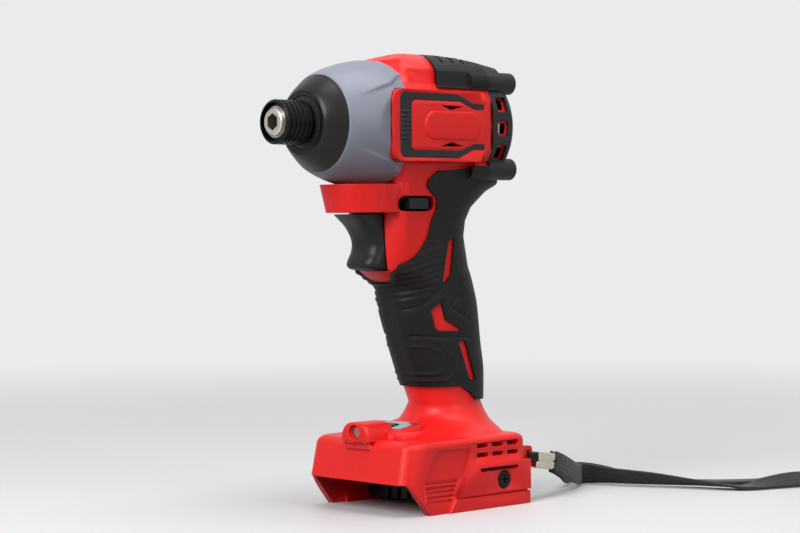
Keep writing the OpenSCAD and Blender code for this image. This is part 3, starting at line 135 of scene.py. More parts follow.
def mouldedPlastic(add, place, look):
    # spark-eroded mould skin: grain noise in height and gloss, slow cloud in tone, paler rubbed edges
    # sockets 6 and 7 of a colour mix are its two colours, output 2 its result
    look = {**plastic, **look}
    grain = add("TexNoise", {"Scale": perMm(look["grain"]), "Detail": 3, "Roughness": 0.6}, {"Vector": place})
    cloud = add("TexNoise", {"Scale": perMm(look["cloud"]), "Detail": 4, "Roughness": 0.55}, {"Vector": place})
    edge = add("Bevel", {"samples": 6, "Radius": look["edge"] / mmPerM})
    turn = add("VectorMath", {"operation": "DOT_PRODUCT"}, {0: edge, 1: add("NewGeometry").outputs["Normal"]})
    rub = add("MapRange", {"From Min": 0.995, "From Max": 0.86, "To Max": look["rub"]},
              {"Value": turn.outputs["Value"]})
    patchy = add("Math", {"operation": "MULTIPLY"}, {0: rub, 1: cloud})
    tone = add("Mix", {"data_type": "RGBA", 6: look["colour"], 7: look["tone"]}, {"Factor": cloud})
    base = add("Mix", {"data_type": "RGBA", 7: look["worn"]}, {"Factor": patchy, 6: tone.outputs[2]})
    gloss = add("MapRange", {"From Min": 0.3, "From Max": 0.7, "To Min": look["rough"][0],
                             "To Max": look["rough"][1]}, {"Value": grain})
    skin = add("Bump", {"Strength": look["bite"], "Distance": look["depth"] / mmPerM},
               {"Height": grain, "Normal": edge})
    return add("BsdfPrincipled", {"IOR": look["ior"], "Specular IOR Level": look["specular"],
                                  "Coat Weight": look["coat"], "Coat Roughness": 0.12},
               {"Base Color": base.outputs[2], "Roughness": gloss, "Normal": skin})


def workedMetal(add, place, look):
    # metal with tool marks: bands along the machine's axis in height, cloud noise in tone and gloss
    look = {**metal, **look}
    bands = add("TexWave", {"wave_type": "BANDS", "bands_direction": look["axis"], "Scale": bandsPerMm(look["pitch"]),
                            "Distortion": 1.5, "Detail": 2}, {"Vector": place})
    cloud = add("TexNoise", {"Scale": perMm(look["cloud"]), "Detail": 5, "Roughness": 0.6}, {"Vector": place})
    edge = add("Bevel", {"samples": 6, "Radius": look["edge"] / mmPerM})
    tone = add("Mix", {"data_type": "RGBA", 6: look["colour"], 7: look["tone"]}, {"Factor": cloud})
    gloss = add("MapRange", {"From Min": 0.3, "From Max": 0.7, "To Min": look["rough"][0],
                             "To Max": look["rough"][1]}, {"Value": cloud})
    skin = add("Bump", {"Strength": look["bite"], "Distance": look["depth"] / mmPerM},
               {"Height": bands.outputs["Fac"], "Normal": edge})
    return add("BsdfPrincipled", {"Metallic": look["metal"]},
               {"Base Color": tone.outputs[2], "Roughness": gloss, "Normal": skin})


def groundMouth(add, place, look):
    # dark steel, ground bright within a radius of the tool's axis: a smooth step on the distance from that axis; the
    # dark part of the end face is phosphate and painted shade
    fromAxis = add("VectorMath", {"operation": "SUBTRACT", 1: (0, 0, look["axis"] / mmPerM)}, {0: place})
    flat = add("VectorMath", {"operation": "MULTIPLY", 1: (0, 1, 1)}, {0: fromAxis})
    radius = add("VectorMath", {"operation": "LENGTH"}, {0: flat})
    ring = add("MapRange", {"interpolation_type": "SMOOTHSTEP", "From Min": look["ring"] / mmPerM,
                            "From Max": (look["ring"] - look["blend"]) / mmPerM}, {"Value": radius.outputs["Value"]})
    cloud = add("TexNoise", {"Scale": perMm(look["cloud"]), "Detail": 4}, {"Vector": place})
    # phosphate tone, which on the end face beyond the ring also stands as painted shade of the recess before the sleeve
    phosphateAndShade = add("Mix", {"data_type": "RGBA", 6: look["colour"], 7: look["tone"]}, {"Factor": cloud})
    tone = add("Mix", {"data_type": "RGBA", 7: look["bright"]}, {"Factor": ring, 6: phosphateAndShade.outputs[2]})
    gloss = add("MapRange", {"To Min": look["rough"][0], "To Max": look["rough"][1]}, {"Value": cloud})
    return add("BsdfPrincipled", {"Metallic": 1.0}, {"Base Color": tone.outputs[2], "Roughness": gloss})


def clearPlastic(add, place, look):
    # moulded lens: clear, glossy, faint flow haze so it reads as plastic and not as a hole
    haze = add("TexNoise", {"Scale": perMm(look["haze"]), "Detail": 2}, {"Vector": place})
    gloss = add("MapRange", {"To Min": look["rough"][0], "To Max": look["rough"][1]}, {"Value": haze})
    return add("BsdfPrincipled", {"Base Color": look["colour"], "Transmission Weight": look["clear"],
                                  "IOR": look["ior"]}, {"Roughness": gloss})


def wovenWebbing(add, place, look):
    # UV in metres along and across: ribs are waves across the width, picks diagonal waves, fuzz is noise
    uv = add("UVMap", {"uv_map": "weave"})
    rib = add("TexWave", {"bands_direction": "Y", "Scale": bandsPerMm(look["rib"])}, {"Vector": uv})
    pick = add("TexWave", {"bands_direction": "DIAGONAL", "Scale": bandsPerMm(look["pick"])}, {"Vector": uv})
    fuzz = add("TexNoise", {"Scale": perMm(look["fuzz"]), "Detail": 3}, {"Vector": place})
    height = add("Math", {"operation": "MULTIPLY"}, {0: rib.outputs["Fac"], 1: pick.outputs["Fac"]})
    ragged = add("Math", {"operation": "MULTIPLY_ADD", 1: look["ragged"]}, {0: fuzz, 2: height})
    # tone follows the weave's height: painted shade in its hollows and painted highlight on its crests; the fuzz adds
    # random thread tone
    tone = add("Mix", {"data_type": "RGBA", 6: look["low"], 7: look["high"]}, {"Factor": ragged})
    skin = add("Bump", {"Strength": 0.6, "Distance": look["depth"] / mmPerM}, {"Height": ragged})
    return add("BsdfPrincipled", {"Roughness": 0.72, "Sheen Weight": 0.25, "Sheen Roughness": 0.4},
               {"Base Color": tone.outputs[2], "Normal": skin})


# glass-filled nylon, moulded: saturated red, satin sheen with fine spark grain that keeps highlights broad
redNylon = newMaterial("redGlassFilledNylon", mouldedPlastic, {
    "colour": "#EF1C1A", "tone": "#E41715", "worn": "#F5605A", "cloud": 38, "edge": 0.45, "rub": 0.5, "bite": 0.22,
    "depth": 0.06, "rough": (0.36, 0.48), "specular": 0.36})
# same nylon in blue-grey over the hammer case: flatter satin, since its mould was blasted
greyNylon = newMaterial("greyGlassFilledNylon", mouldedPlastic, {
    "colour": "#878B99", "tone": "#7F8391", "worn": "#B0B4C0", "grain": 0.45, "cloud": 30, "edge": 0.5, "rub": 0.5,
    "rough": (0.38, 0.5), "specular": 0.36})
# styrenic elastomer moulded over the nylon: near-black and matte
elastomer = newMaterial("overmouldedElastomer", mouldedPlastic, {
    "colour": "#121213", "tone": "#161617", "worn": "#2C2C2E", "grain": 0.55, "cloud": 22, "bite": 0.3, "depth": 0.07,
    "rough": (0.46, 0.6), "ior": 1.5, "specular": 0.2})
# bumper elastomer: harder grade, smoother mould, so one soft highlight runs round it
bumperElastomer = newMaterial("bumperElastomer", mouldedPlastic, {
    "colour": "#101012", "tone": "#141416", "worn": "#28282A", "grain": 0.6, "cloud": 24, "rub": 0.5, "bite": 0.15,
    "rough": (0.3, 0.4), "ior": 1.5, "specular": 0.28})
# black nylon of trigger, lever and button: darker and a little glossier than the rubber
blackNylon = newMaterial("blackNylon", mouldedPlastic, {
    "colour": "#101011", "tone": "#151516", "worn": "#323234", "rough": (0.34, 0.46)})
# charcoal trim and rear cover: same nylon with more grey pigment
charcoalNylon = newMaterial("charcoalNylon", mouldedPlastic, {
    "colour": "#1E1E20", "tone": "#232325", "worn": "#3E3E41", "bite": 0.24, "depth": 0.06, "rough": (0.42, 0.55)})
# printed polycarbonate film: deep black under a clear gloss coat
panelFilm = newMaterial("printedPolycarbonateFilm", mouldedPlastic, {
    "colour": "#141416", "tone": "#19191B", "worn": "#2C2C2E", "grain": 0.8, "cloud": 16, "edge": 0.25, "rub": 0.3,
    "bite": 0.05, "depth": 0.03, "rough": (0.16, 0.24), "ior": 1.58, "specular": 0.5, "coat": 0.8})
# glass-epoxy board: green solder mask, half gloss
boardMask = newMaterial("glassEpoxyBoard", mouldedPlastic, {
    "colour": "#14523A", "tone": "#1B6244", "worn": "#4E8A6C", "grain": 0.4, "cloud": 6, "edge": 0.2, "rub": 0.4,
    "bite": 0.15, "depth": 0.04, "rough": (0.3, 0.42), "ior": 1.55, "specular": 0.5})

# turned tool steel: bright grey with fine turning rings along the tool's axis
turnedSteel = newMaterial("turnedToolSteel", workedMetal, {
    "colour": "#B4B1AB", "tone": "#9C9993", "pitch": 0.45, "cloud": 7, "rough": (0.22, 0.36)})
# black-oxide steel: dark, oily satin that still mirrors light along its ribs
blackOxide = newMaterial("blackOxideSteel", workedMetal, {
    "colour": "#2A2A2B", "tone": "#202021", "edge": 0.3, "rough": (0.3, 0.42)})
# die-cast aluminium alloy: pale, slightly mottled, no tool marks to speak of
casting = {"axis": "Z", "pitch": 1.4, "cloud": 4, "edge": 0.4, "bite": 0.1, "depth": 0.04}
castAlloy = newMaterial("dieCastAlloy", workedMetal, {
    **casting, "colour": "#A7A8A8", "tone": "#949595", "rough": (0.42, 0.56)})
# same alloy under black dip paint, on the case that carries the hammer: dark satin, mottled by the casting
dippedAlloy = newMaterial("dippedDieCastAlloy", workedMetal, {
    **casting, "colour": "#19191B", "tone": "#212123", "rough": (0.45, 0.58), "metal": 0.2})
# oil-soaked sintered bronze: brown-black pores, dull
sinteredBronze = newMaterial("sinteredBronze", workedMetal, {
    "colour": "#2E241A", "tone": "#241C15", "cloud": 2, "edge": 0.2, "bite": 0.1, "rough": (0.5, 0.65)})
# turned brass: warm yellow, bright rings
turnedBrass = newMaterial("turnedBrass", workedMetal, {
    "colour": "#C9A24A", "tone": "#B68F3C", "axis": "Y", "pitch": 0.4, "edge": 0.2, "rough": (0.24, 0.36)})
# enamelled copper wire: orange-brown, the bands are the turns of wire
copperWire = newMaterial("enamelledCopperWire", workedMetal, {
    "colour": "#B4632E", "tone": "#9A4F22", "axis": "Z", "pitch": 0.9, "cloud": 6, "bite": 0.7, "depth": 0.25,
    "rough": (0.28, 0.4)})
# nickel plate on pressed steel: mirror-like and faintly yellow, soft ripples from the press
nickelPlate = newMaterial("nickelPlatedSteel", workedMetal, {
    "colour": "#CFC8B8", "tone": "#BDB6A6", "pitch": 2.2, "edge": 0.3, "bite": 0.06, "depth": 0.05,
    "rough": (0.16, 0.28)})

# manganese-phosphated anvil: sooty grey-black, with the socket's mouth ground back to bright steel; the grey-black on
# the end face beyond the mouth is also painted shade of the recess before the sleeve
phosphatedSteelAndShade = newMaterial("phosphatedSteelAndShade", groundMouth, {
    "axis": 172, "ring": 6.3, "blend": 0.15, "cloud": 1.5, "colour": "#1D1D1E", "tone": "#262627",
    "bright": "#C9C4BC", "rough": (0.28, 0.42)})
# clear polycarbonate of the lens: water-white with a trace of haze
clearLens = newMaterial("clearPolycarbonate", clearPlastic, {
    "haze": 3, "rough": (0.03, 0.12), "colour": "#F4F5F2", "clear": 0.85, "ior": 1.58})
# woven polyester: dull black, faint sheen; real threads are about 0.5 mm apart, drawn at 1.1 mm so that they show
# low is painted shade in the weave's hollows, high painted highlight on its crests
webbing = newMaterial("wovenPolyesterWebbing", wovenWebbing, {
    "rib": 1.1, "pick": 1.5, "fuzz": 0.7, "ragged": 0.35, "low": "#0B0B0E", "high": "#1D1D22", "depth": 0.15})

# finish by material slot, and for single nodes that differ from their slot
finishOf = {"red_shell": redNylon, "soft_black": elastomer, "black_plastic": blackNylon, "grey_cover": greyNylon,
            "steel": turnedSteel, "black_steel": blackOxide, "alloy": castAlloy, "brass": turnedBrass,
            "copper": copperWire, "board": boardMask, "clear_lens": clearLens, "gloss_black": panelFilm,
            "strap_webbing": webbing, "nickel": nickelPlate}
finishOfNode = {"nose_bumper": bumperElastomer, "anvil": phosphatedSteelAndShade, "hammer_case": dippedAlloy,
                "anvil_bush": sinteredBronze, "rear_cover": charcoalNylon, "left_side_trim": charcoalNylon,
                "right_side_trim": charcoalNylon, "strap_loop": elastomer}
for name, piece in nodes.items():
    piece.data.materials.clear()
    piece.data.materials.append(finishOfNode.get(name, finishOf[slotOf[name]]))
print("finishes:", len(bpy.data.materials))


def gridPiece(name, points, finish, uv=None, ends=True, looped=False):
    # points[i, j] is the surface at step i of the first parameter and step j of the second, in metres
    # the second parameter runs round to its start, and so does the first if looped; otherwise ends caps it
    m, n = points.shape[:2]
    i, j = np.meshgrid(np.arange(m if looped else m - 1), np.arange(n), indexing="ij")
    k, h = (j + 1) % n, (i + 1) % m
    faces = np.stack([i * n + j, i * n + k, h * n + k, h * n + j], -1).reshape(-1, 4)
    caps = [list(range(n))[::-1], list(range((m - 1) * n, m * n))] if ends and not looped else []
    p = points.reshape(-1, 3)
    a, b, c, d = (p[faces[:, q]] for q in range(4))
    # a solid's faces point out: its volume by the divergence sum is above zero
    if (ends or looped) and ((a - p.mean(0)) * np.cross(c - a, d - b)).sum() < 0:
        faces, caps = faces[:, ::-1], [cap[::-1] for cap in caps]
    mesh = bpy.data.meshes.new(name)
    mesh.from_pydata(p.tolist(), [], faces.tolist() + caps)
    mesh.shade_smooth()
    if uv is not None:
        corner = np.zeros(len(mesh.loops), np.int32)
        mesh.loops.foreach_get("vertex_index", corner)
        layer = mesh.uv_layers.new(name="weave")
        layer.data.foreach_set("uv", uv.reshape(-1, 2)[corner].ravel())
    mesh.materials.append(finish)
    mesh.update()
    return addObject(name, mesh)


def sharpen(piece, degrees):
    piece.data.set_sharp_from_angle(angle=math.radians(degrees))  # edges that turn by more stay crisp


def standFor(piece, node):
    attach(piece, bodyOf[node])
    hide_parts(node)


def drawIn(depth, near, run):
    # a quarter circle: nothing at a distance of run or more from the end, depth at the end itself
    return depth * (1 - np.sqrt(1 - np.clip(1 - near / run, 0, 1) ** 2))[:, None]


def roundRect(x0, x1, z0, z1, r, each=8):
    # four corner arcs in turn
    a = (np.arange(4)[:, None] * 90 + np.linspace(0, 90, each)[None]) * np.pi / 180
    cx = np.where(np.isin(np.arange(4), (0, 3)), x1 - r, x0 + r)[:, None]
    cz = np.where(np.arange(4) < 2, z1 - r, z0 + r)[:, None]
    return np.stack([cx + r * np.cos(a), cz + r * np.sin(a)], -1).reshape(-1, 2)


def throughPoints(points, each):
    # Catmull-Rom: each span is the cubic whose end slopes are half the chord of its neighbours
    p = np.vstack([2 * points[0] - points[1], points, 2 * points[-1] - points[-2]])
    t = np.linspace(0, 1, each, endpoint=False)[None, :, None]
    a, b, c, d = (p[k:len(p) - 3 + k][:, None, :] for k in range(4))
    curve = 0.5 * (2 * b + (c - a) * t + (2 * a - 5 * b + 4 * c - d) * t ** 2 + (3 * b - a - 3 * c + d) * t ** 3)
    return np.vstack([curve.reshape(-1, points.shape[1]), points[-1:]])


# strap crimp: pressed from strip, two lobes with a pinch between; mm, lean in degrees
# steps are the distances of its rounding from an end, plain is where the plain part starts and its rows
crimp = {"origin": (-67.15, 28, 18.4), "lean": 8.5, "from": 0.6, "to": 13.5, "half": (2.2, 3.8), "corner": 1.1,
         "pinch": 0.3, "nip": 0.55, "draw": 0.9, "steps": (0, 0.12, 0.3, 0.6, 1.0), "plain": (2, 9), "arc": 10,
         "edge": 24}


def makeCrimp(look):
    # a rounded profile, narrowed by a bell curve at mid height, carried along the lean
    # it draws in at both ends by a quarter circle
    step, start, end = np.array(look["steps"]), look["from"], look["to"]
    inset, rows = look["plain"]
    along = np.r_[start + step, np.linspace(start + inset, end - inset, rows), end - step[::-1]]
    draw = drawIn(look["draw"], np.minimum(along - start, end - along), 1)
    wide, high = look["half"]
    y, z = roundRect(-wide, wide, -high, high, look["corner"], look["arc"]).T
    edge = np.linspace(-high + look["corner"], high - look["corner"], look["edge"])[1:-1]
    top = 2 * look["arc"]  # points of the upper two corners
    z = np.r_[z[:top], edge[::-1], z[top:], edge]
    y = np.r_[y[:top], 0 * edge - wide, y[top:], 0 * edge + wide]
    y = y * (1 - look["pinch"] * np.exp(-(z / look["nip"]) ** 2))
    y, z = y[None] - np.sign(y)[None] * draw, z[None] * (1 - draw / high)
    lean = math.radians(look["lean"])
    x = -math.cos(lean) * along[:, None] - math.sin(lean) * z
    points = np.stack([x, y, math.cos(lean) * z - math.sin(lean) * along[:, None]], -1) + np.array(look["origin"])
    piece = gridPiece("strapCrimp", points / mmPerM, nickelPlate)
    standFor(piece, "strap_crimp")
    return piece


# wrist strap: width, thickness and corner in metres; the route is in mm from that corner, and its fourth number is
# the turn of the width from upright, in degrees; square flattens the profile across and through
strap = {"width": 0.010, "thick": 0.0015, "each": 10, "ring": 40, "square": (0.5, 0.35),
         "corner": np.array([-0.05885, 0.034, 0.0]), "route": np.array([
    (-22, -4.6, 16.2, 0), (-29, -7, 14.2, 0), (-39, -11.6, 11, 0), (-48, -16.4, 8.2, 0), (-56, -21.4, 6.2, 0),
    (-61, -24.6, 5.5, 0), (-64, -26, 5.2, -8), (-67, -24.6, 5.2, -15), (-71.5, -16.5, 4.7, -37),
    (-76.3, -4.7, 4.3, -45), (-82, 6.2, 3.8, -53), (-89.8, 20.4, 2.8, -68), (-94.4, 31.8, 2.2, -76),
    (-100, 42.4, 1.3, -86), (-106.5, 46.6, 1.6, -97), (-114.6, 49.5, 2.7, -112), (-129.3, 56, 3.6, -124),
    (-143, 64, 2.8, -112), (-155, 74, 1.4, -95), (-165, 80.5, 1.1, -90), (-175, 79, 1.1, -90),
    (-181.5, 71, 1.1, -90), (-182, 60, 1.1, -90), (-175, 50, 1.1, -90), (-164, 43, 1.1, -90),
    (-151, 39.5, 1.1, -90), (-138, 38, 1.1, -90), (-125, 33, 1.1, -90), (-113, 24.5, 1.1, -90),
    (-103, 13, 1.1, -90), (-94, 0, 1.5, -97), (-86.5, -12, 2.7, -113), (-80.5, -23, 4.2, -135),
    (-74, -30.8, 4.9, -155), (-66, -33.4, 5.3, -170), (-57, -29.6, 5.9, -180), (-48, -23, 8, -180),
    (-39, -16.4, 10.9, -180), (-29, -10.6, 14.1, -180), (-22, -7.4, 16.2, -180)], float)}


def makeStrap(look, clasp):
    # a flat rounded profile carried along the route; its width leans from upright by the route's fourth number
    rows = throughPoints(look["route"], look["each"])
    path = rows[:, :3] / mmPerM + look["corner"]
    ahead = np.gradient(path, axis=0)
    ahead /= np.linalg.norm(ahead, axis=1, keepdims=True)
    left = np.stack([-ahead[:, 1], ahead[:, 0], 0 * ahead[:, 0]], -1)
    left /= np.linalg.norm(left, axis=1, keepdims=True)
    lean = np.radians(rows[:, 3])[:, None]
    wide = np.cos(lean) * np.array([0, 0, 1]) + np.sin(lean) * left
    wide -= (wide * ahead).sum(1, keepdims=True) * ahead
    wide /= np.linalg.norm(wide, axis=1, keepdims=True)
    flat = np.cross(ahead, wide)
    t = np.linspace(0, 2 * np.pi, look["ring"], endpoint=False)
    across = np.sign(np.cos(t)) * np.abs(np.cos(t)) ** look["square"][0] * look["width"] / 2
    through = np.sign(np.sin(t)) * np.abs(np.sin(t)) ** look["square"][1] * look["thick"] / 2
    points = path[:, None] + wide[:, None] * across[None, :, None] + flat[:, None] * through[None, :, None]
    along = np.r_[0, np.cumsum(np.linalg.norm(np.diff(path, axis=0), axis=1))]
    uv = np.stack(np.broadcast_arrays(along[:, None], across[None, :]), -1)
    piece = gridPiece("strapWebbing", points, webbing, uv)
    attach(piece, "tool_body")
    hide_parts("wrist_strap")
    print("strap: length", round(along[-1], 4), "lowest", points[..., 2].min())


makeStrap(strap, makeCrimp(crimp))


def cutPiece(piece, tools, how):
    # live boolean with each tool in turn, then its result becomes the piece's own mesh
    for tool in tools:
        step = piece.modifiers.new("cut", "BOOLEAN")
        step.operation, step.solver, step.object = how, "EXACT", tool
    done = bpy.data.meshes.new_from_object(piece.evaluated_get(bpy.context.evaluated_depsgraph_get()))
    piece.modifiers.clear()
    piece.data = done
    for tool in tools:
        bpy.data.objects.remove(tool)


def joinPieces(piece, others):
    # the others' faces go into the piece's own mesh
    work = bmesh.new()
    for one in (piece, *others):
        work.from_mesh(one.data)
    work.to_mesh(piece.data)
    work.free()
    for one in others:
        bpy.data.objects.remove(one)


def outlinePrism(name, outline, low, high, axis=1):
    # a flat outline (mm) carried along one axis: the outline holds the other two coordinates
    flat = np.insert(np.array(outline, float), axis, 0, 1)
    rows = np.stack([flat, flat])
    rows[0, :, axis], rows[1, :, axis] = low, high
    return gridPiece(name, rows / mmPerM, elastomer)


def smoothRows(rows, heights):
    # monotone cubic through each column of the section table: slopes are weighted means that stop at turning points
    z, v = rows[:, 0], rows[:, 1:]
    h, d = np.diff(z)[:, None], np.diff(v, axis=0) / np.diff(z)[:, None]
    w1, w2 = 2 * h[1:] + h[:-1], h[1:] + 2 * h[:-1]
    same = d[:-1] * d[1:] > 0
    mean = (w1 + w2) / (w1 / np.where(same, d[:-1], 1) + w2 / np.where(same, d[1:], 1))
    m = np.vstack([d[:1], np.where(same, mean, 0), d[-1:]])
    k = np.clip(np.searchsorted(z, heights, side="right") - 1, 0, len(z) - 2)
    t = ((heights - z[k]) / np.diff(z)[k])[:, None]
    hk = h[k]
    return ((1 + 2 * t) * (1 - t) ** 2 * v[k] + t * (1 - t) ** 2 * hk * m[k]
            + t * t * (3 - 2 * t) * v[k + 1] + t * t * (t - 1) * hk * m[k + 1])


def halfRings(look, heights, grow):
    # each ring: rear middle, rear corner quarter-ellipse, side, front corner quarter-ellipse, front middle
    # it grows outwards evenly, but less in front, where the table reaches the trigger's room
    rows = look["rows"]
    f, r, b, af, ar, s = (c[:, None] for c in smoothRows(rows, heights).T)
    straight = [np.interp(heights, rows[:, 0], rows[:, k])[:, None] for k in (1, 2, 3)]
    f, r, b = np.maximum(f, straight[0]), np.minimum(r, straight[1]), np.maximum(b, straight[2])
    brim, fade, least = look["brim"]
    f, r, b = f + np.clip((brim - f) / fade, least, 1) * grow, r - grow, b + grow
    t = np.linspace(0, np.pi / 2, look["arc"])[None]
    u = np.linspace(0, 1, look["flat"], endpoint=False)[None]
    v = u[:, 1:]
    rearX, rearY = r + ar * (1 - np.cos(t)), b - s * (1 - np.sin(t))
    frontX, frontY = f - af * (1 - np.sin(t)), b - s * (1 - np.cos(t))
    x = np.hstack([r + 0 * u, rearX, rearX[:, -1:] * (1 - v) + frontX[:, :1] * v, frontX, f + 0 * v, f])
    y = np.hstack([(b - s) * u, rearY, b + 0 * v, frontY, (b - s) * (1 - v), 0 * f])
    return np.stack([x, y, heights[:, None] + 0 * x], -1)


def lineGap(x, z, line):
    # shortest distance in mm from each (x, z) to a chain of straight pieces
    a, b = np.array(line[:-1], float), np.array(line[1:], float)
    p = np.stack([x, z], -1)[..., None, :]
    ab = b - a
    t = np.clip(((p - a) * ab).sum(-1) / (ab * ab).sum(-1), 0, 1)
    return np.linalg.norm(p - a - t[..., None] * ab, axis=-1).min(-1)


# soft grip, mm: skin and its gap to the housing, ring steps, sharp angle; rows are the sections (height, front, rear,
# half width, front, rear and side corner reach); brim is the front reach at which growth fades, its run and least share
grip = {"skin": 1.0, "gap": 0.04, "heights": (46.01, 153), "step": 0.62, "arc": 40, "flat": 26, "sharp": 38,
        "brim": (9.6, 2, 0.12), "out": 34, "rows": np.array([
    (46, -21.47, -54.47, 15.5, 16, 16, 13.5), (58, -16.47, -54.47, 16, 17, 17, 13.5),
    (74.5, -9.91, -52.41, 16.4, 19, 18, 14), (91, -4.35, -50.35, 16.5, 20, 18, 14),
    (99, -2.95, -48.55, 16.5, 20, 18, 15), (104, 4.65, -46.95, 16.6, 18, 18, 15.5),
    (108, 9.35, -45.55, 16.7, 13, 19, 16), (122, 9.35, -42.35, 17.6, 8, 20, 16.5),
    (129, 9.35, -42.75, 18.2, 8, 20, 16), (135, 9.35, -45.55, 19, 8, 20, 16), (142, 9.35, -53.75, 19.8, 8, 24, 14),
    (146.5, 9.35, -61.65, 20.2, 8, 24, 14), (153, 9.35, -61.65, 20.57, 8, 24, 10)], float),
    # side outline, then windows in the side and across the spine, as (x, z)
    "outline": [(-38.15, 153.8), (-28.55, 152.2), (-14.95, 151.3), (-9.25, 147.2), (-8.65, 144.2), (-11.75, 141.2),
                (-14.85, 139), (-15.25, 133.8), (-12.65, 128.6), (-10.95, 121.9), (-7.35, 116.8), (-3.65, 113.2),
                (3.5, 109.9), (4.9, 106.4), (3.4, 104.4), (1.7, 102.8), (1.3, 101.5), (0.8, 100.9), (20.15, 100.5),
                (20.15, 53.5), (-32.85, 53.8), (-38.85, 50), (-42.85, 47), (-72.85, 46.5), (-72.85, 154.2)],
    "windows": [[(-27.85, 121.7), (-23.75, 119.5), (-20.85, 101.9), (-22.25, 100.9), (-25.85, 104.9)],
                [(-23.45, 94.9), (-14.65, 88.8), (-17.15, 80.6), (-19.35, 79.5), (-31.75, 79), (-31.75, 80),
                 (-22.95, 84.1), (-20.35, 91.8)],
                [(-30.35, 74.3), (-34.85, 74.1), (-41.85, 56.4), (-37.75, 56.7)]],
    "spine": [[(-54.35, 97.5), (-47.55, 98.5), (-46.95, 102.8), (-54.35, 104)],
              [(-54.35, 79.4), (-49.15, 80), (-48.95, 83.4), (-54.35, 84.4)]],
    "windowFrom": 2, "spineFrom": -1, "outlineFrom": -1,
    # skin under the motor barrel and the post round the rear boss
    "barrel": {"axis": 172, "inner": 28.03, "x": (-44.35, -7.85), "turn": 62, "steps": 50},
    "boss": {"y": 19.66, "z": 152.34, "radius": 5, "x": (-44.35, -33.35), "step": 7.5},
    # finger ribs: lines that fall by slope from the base height; the field runs out at the top, below a line
    # that rises behind lowX, behind a rear line and ahead of the front
    "ribs": {"rib": 0.62, "pitch": 2.9, "slope": 0.24, "base": 106.6, "round": 0.8, "top": 7.0, "run": 1.5, "low": 91.6,
             "lowX": -9, "lowSlope": 0.72, "rear": -19.3, "rearSlope": 0.17, "rearZ": 102, "rearRun": 2, "front": 7.4},
    # raised beads and cut grooves along drawn lines, with the half width of their bell
    "bead": 0.45, "beadHalf": 0.5, "groove": 1.2, "grooveHalf": 0.7,
    "beads": [[(10, 73.1), (-14.8, 72.3), (-21.6, 69.4), (-24.4, 61.9), (-19.9, 59.8), (10, 59.5)],
              [(-18, 75.2), (-28.8, 65.5), (-29.2, 60.4), (-25.2, 56.8), (10, 56.2)]],
    "grooves": [[(-9.7, 77), (-37, 75.8)], [(-30.1, 94.7), (-25.6, 90.4), (-37.1, 84.2)],
                [(-5, 89.2), (-10, 90.6), (-23.6, 101.2)]]}


def gripRelief(look, points):
    # ribs: raised cosine across sloping lines, faded by a mask; beads and grooves: bells of the distance to a line
    x, z, ribs = points[..., 0], points[..., 2], look["ribs"]
    level = z + ribs["slope"] * x - ribs["base"]
    top = np.clip((ribs["top"] - level) / ribs["run"], 0, 1)
    low = np.clip((z - ribs["low"] + ribs["lowSlope"] * np.minimum(x - ribs["lowX"], 0)) / ribs["run"], 0, 1)
    rear = np.clip((x - ribs["rear"] + ribs["rearSlope"] * (z - ribs["rearZ"])) / ribs["rearRun"], 0, 1)
    rear = rear * np.clip(ribs["front"] - x, 0, 1)
    wave = (0.5 + 0.5 * np.cos(2 * np.pi * (level / ribs["pitch"]))) ** ribs["round"]
    relief = ribs["rib"] * wave * top * low * rear
    for line in look["beads"]:
        relief = relief + look["bead"] * np.exp(-(lineGap(x, z, line) / look["beadHalf"]) ** 2)
    for line in look["grooves"]:
        relief = relief - look["bead"] * look["groove"] * np.exp(-(lineGap(x, z, line) / look["grooveHalf"]) ** 2)
    return relief


def makeGrip(look, side):
    # outer rings pushed out by the relief along the surface normal, inner rings back along the housing
    # both are closed into one skin, cut to the outline and joined by the barrel's skin and the boss's post
    heights = np.arange(*look["heights"], look["step"])
    outer, inner = halfRings(look, heights, look["skin"]), halfRings(look, heights, look["gap"])
    normal = np.cross(np.gradient(outer, axis=0), np.gradient(outer, axis=1))
    normal /= np.linalg.norm(normal, axis=-1, keepdims=True) + 1e-12  # no division by zero
    outer = outer + normal * gripRelief(look, outer)[..., None]
    outer[:, [0, -1], 1] = 0
    rings = np.concatenate([outer, inner[:, ::-1]], 1) * np.array([1, side, 1]) / mmPerM
    piece = gridPiece("softGripLeft" if side > 0 else "softGripRight", rings if side < 0 else rings[:, ::-1], elastomer)
    barrel, boss = look["barrel"], look["boss"]
    t = np.radians(np.linspace(0, barrel["turn"], barrel["steps"]))
    skin = np.vstack([np.stack([r * np.sin(t[::k]), barrel["axis"] - r * np.cos(t[::k])], -1)
                      for r, k in ((barrel["inner"] + look["skin"], 1), (barrel["inner"], -1))])
    t = np.radians(np.arange(0, 360, boss["step"]))
    post = np.stack([boss["y"] + boss["radius"] * np.cos(t), boss["z"] + boss["radius"] * np.sin(t)], -1)
    extra = [outlinePrism("skin", skin * (side, 1), *barrel["x"], 0),
             outlinePrism("post", post * (side, 1), *boss["x"], 0)]
    out = look["out"] * side
    for one in (piece, *extra):
        cutPiece(one, [outlinePrism("gripOutline", look["outline"], look["outlineFrom"] * side, out)], "INTERSECT")
    rooms = [(w, look["windowFrom"]) for w in look["windows"]] + [(w, look["spineFrom"]) for w in look["spine"]]
    cutPiece(piece, [outlinePrism("gripWindow", w, y * side, out) for w, y in rooms], "DIFFERENCE")
    joinPieces(piece, extra)
    sharpen(piece, look["sharp"])
    return piece


for side, name in ((1, "left_grip"), (-1, "right_grip")):
    piece = makeGrip(grip, side)
    print(piece.name, len(piece.data.polygons), "faces")
    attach(piece, "tool_body")
    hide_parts(name)


# housing halves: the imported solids, welded and shaded smooth below an angle, so that neck and bracket read as curves
shell = {"angle": 31, "nodes": ("left_housing", "right_housing")}


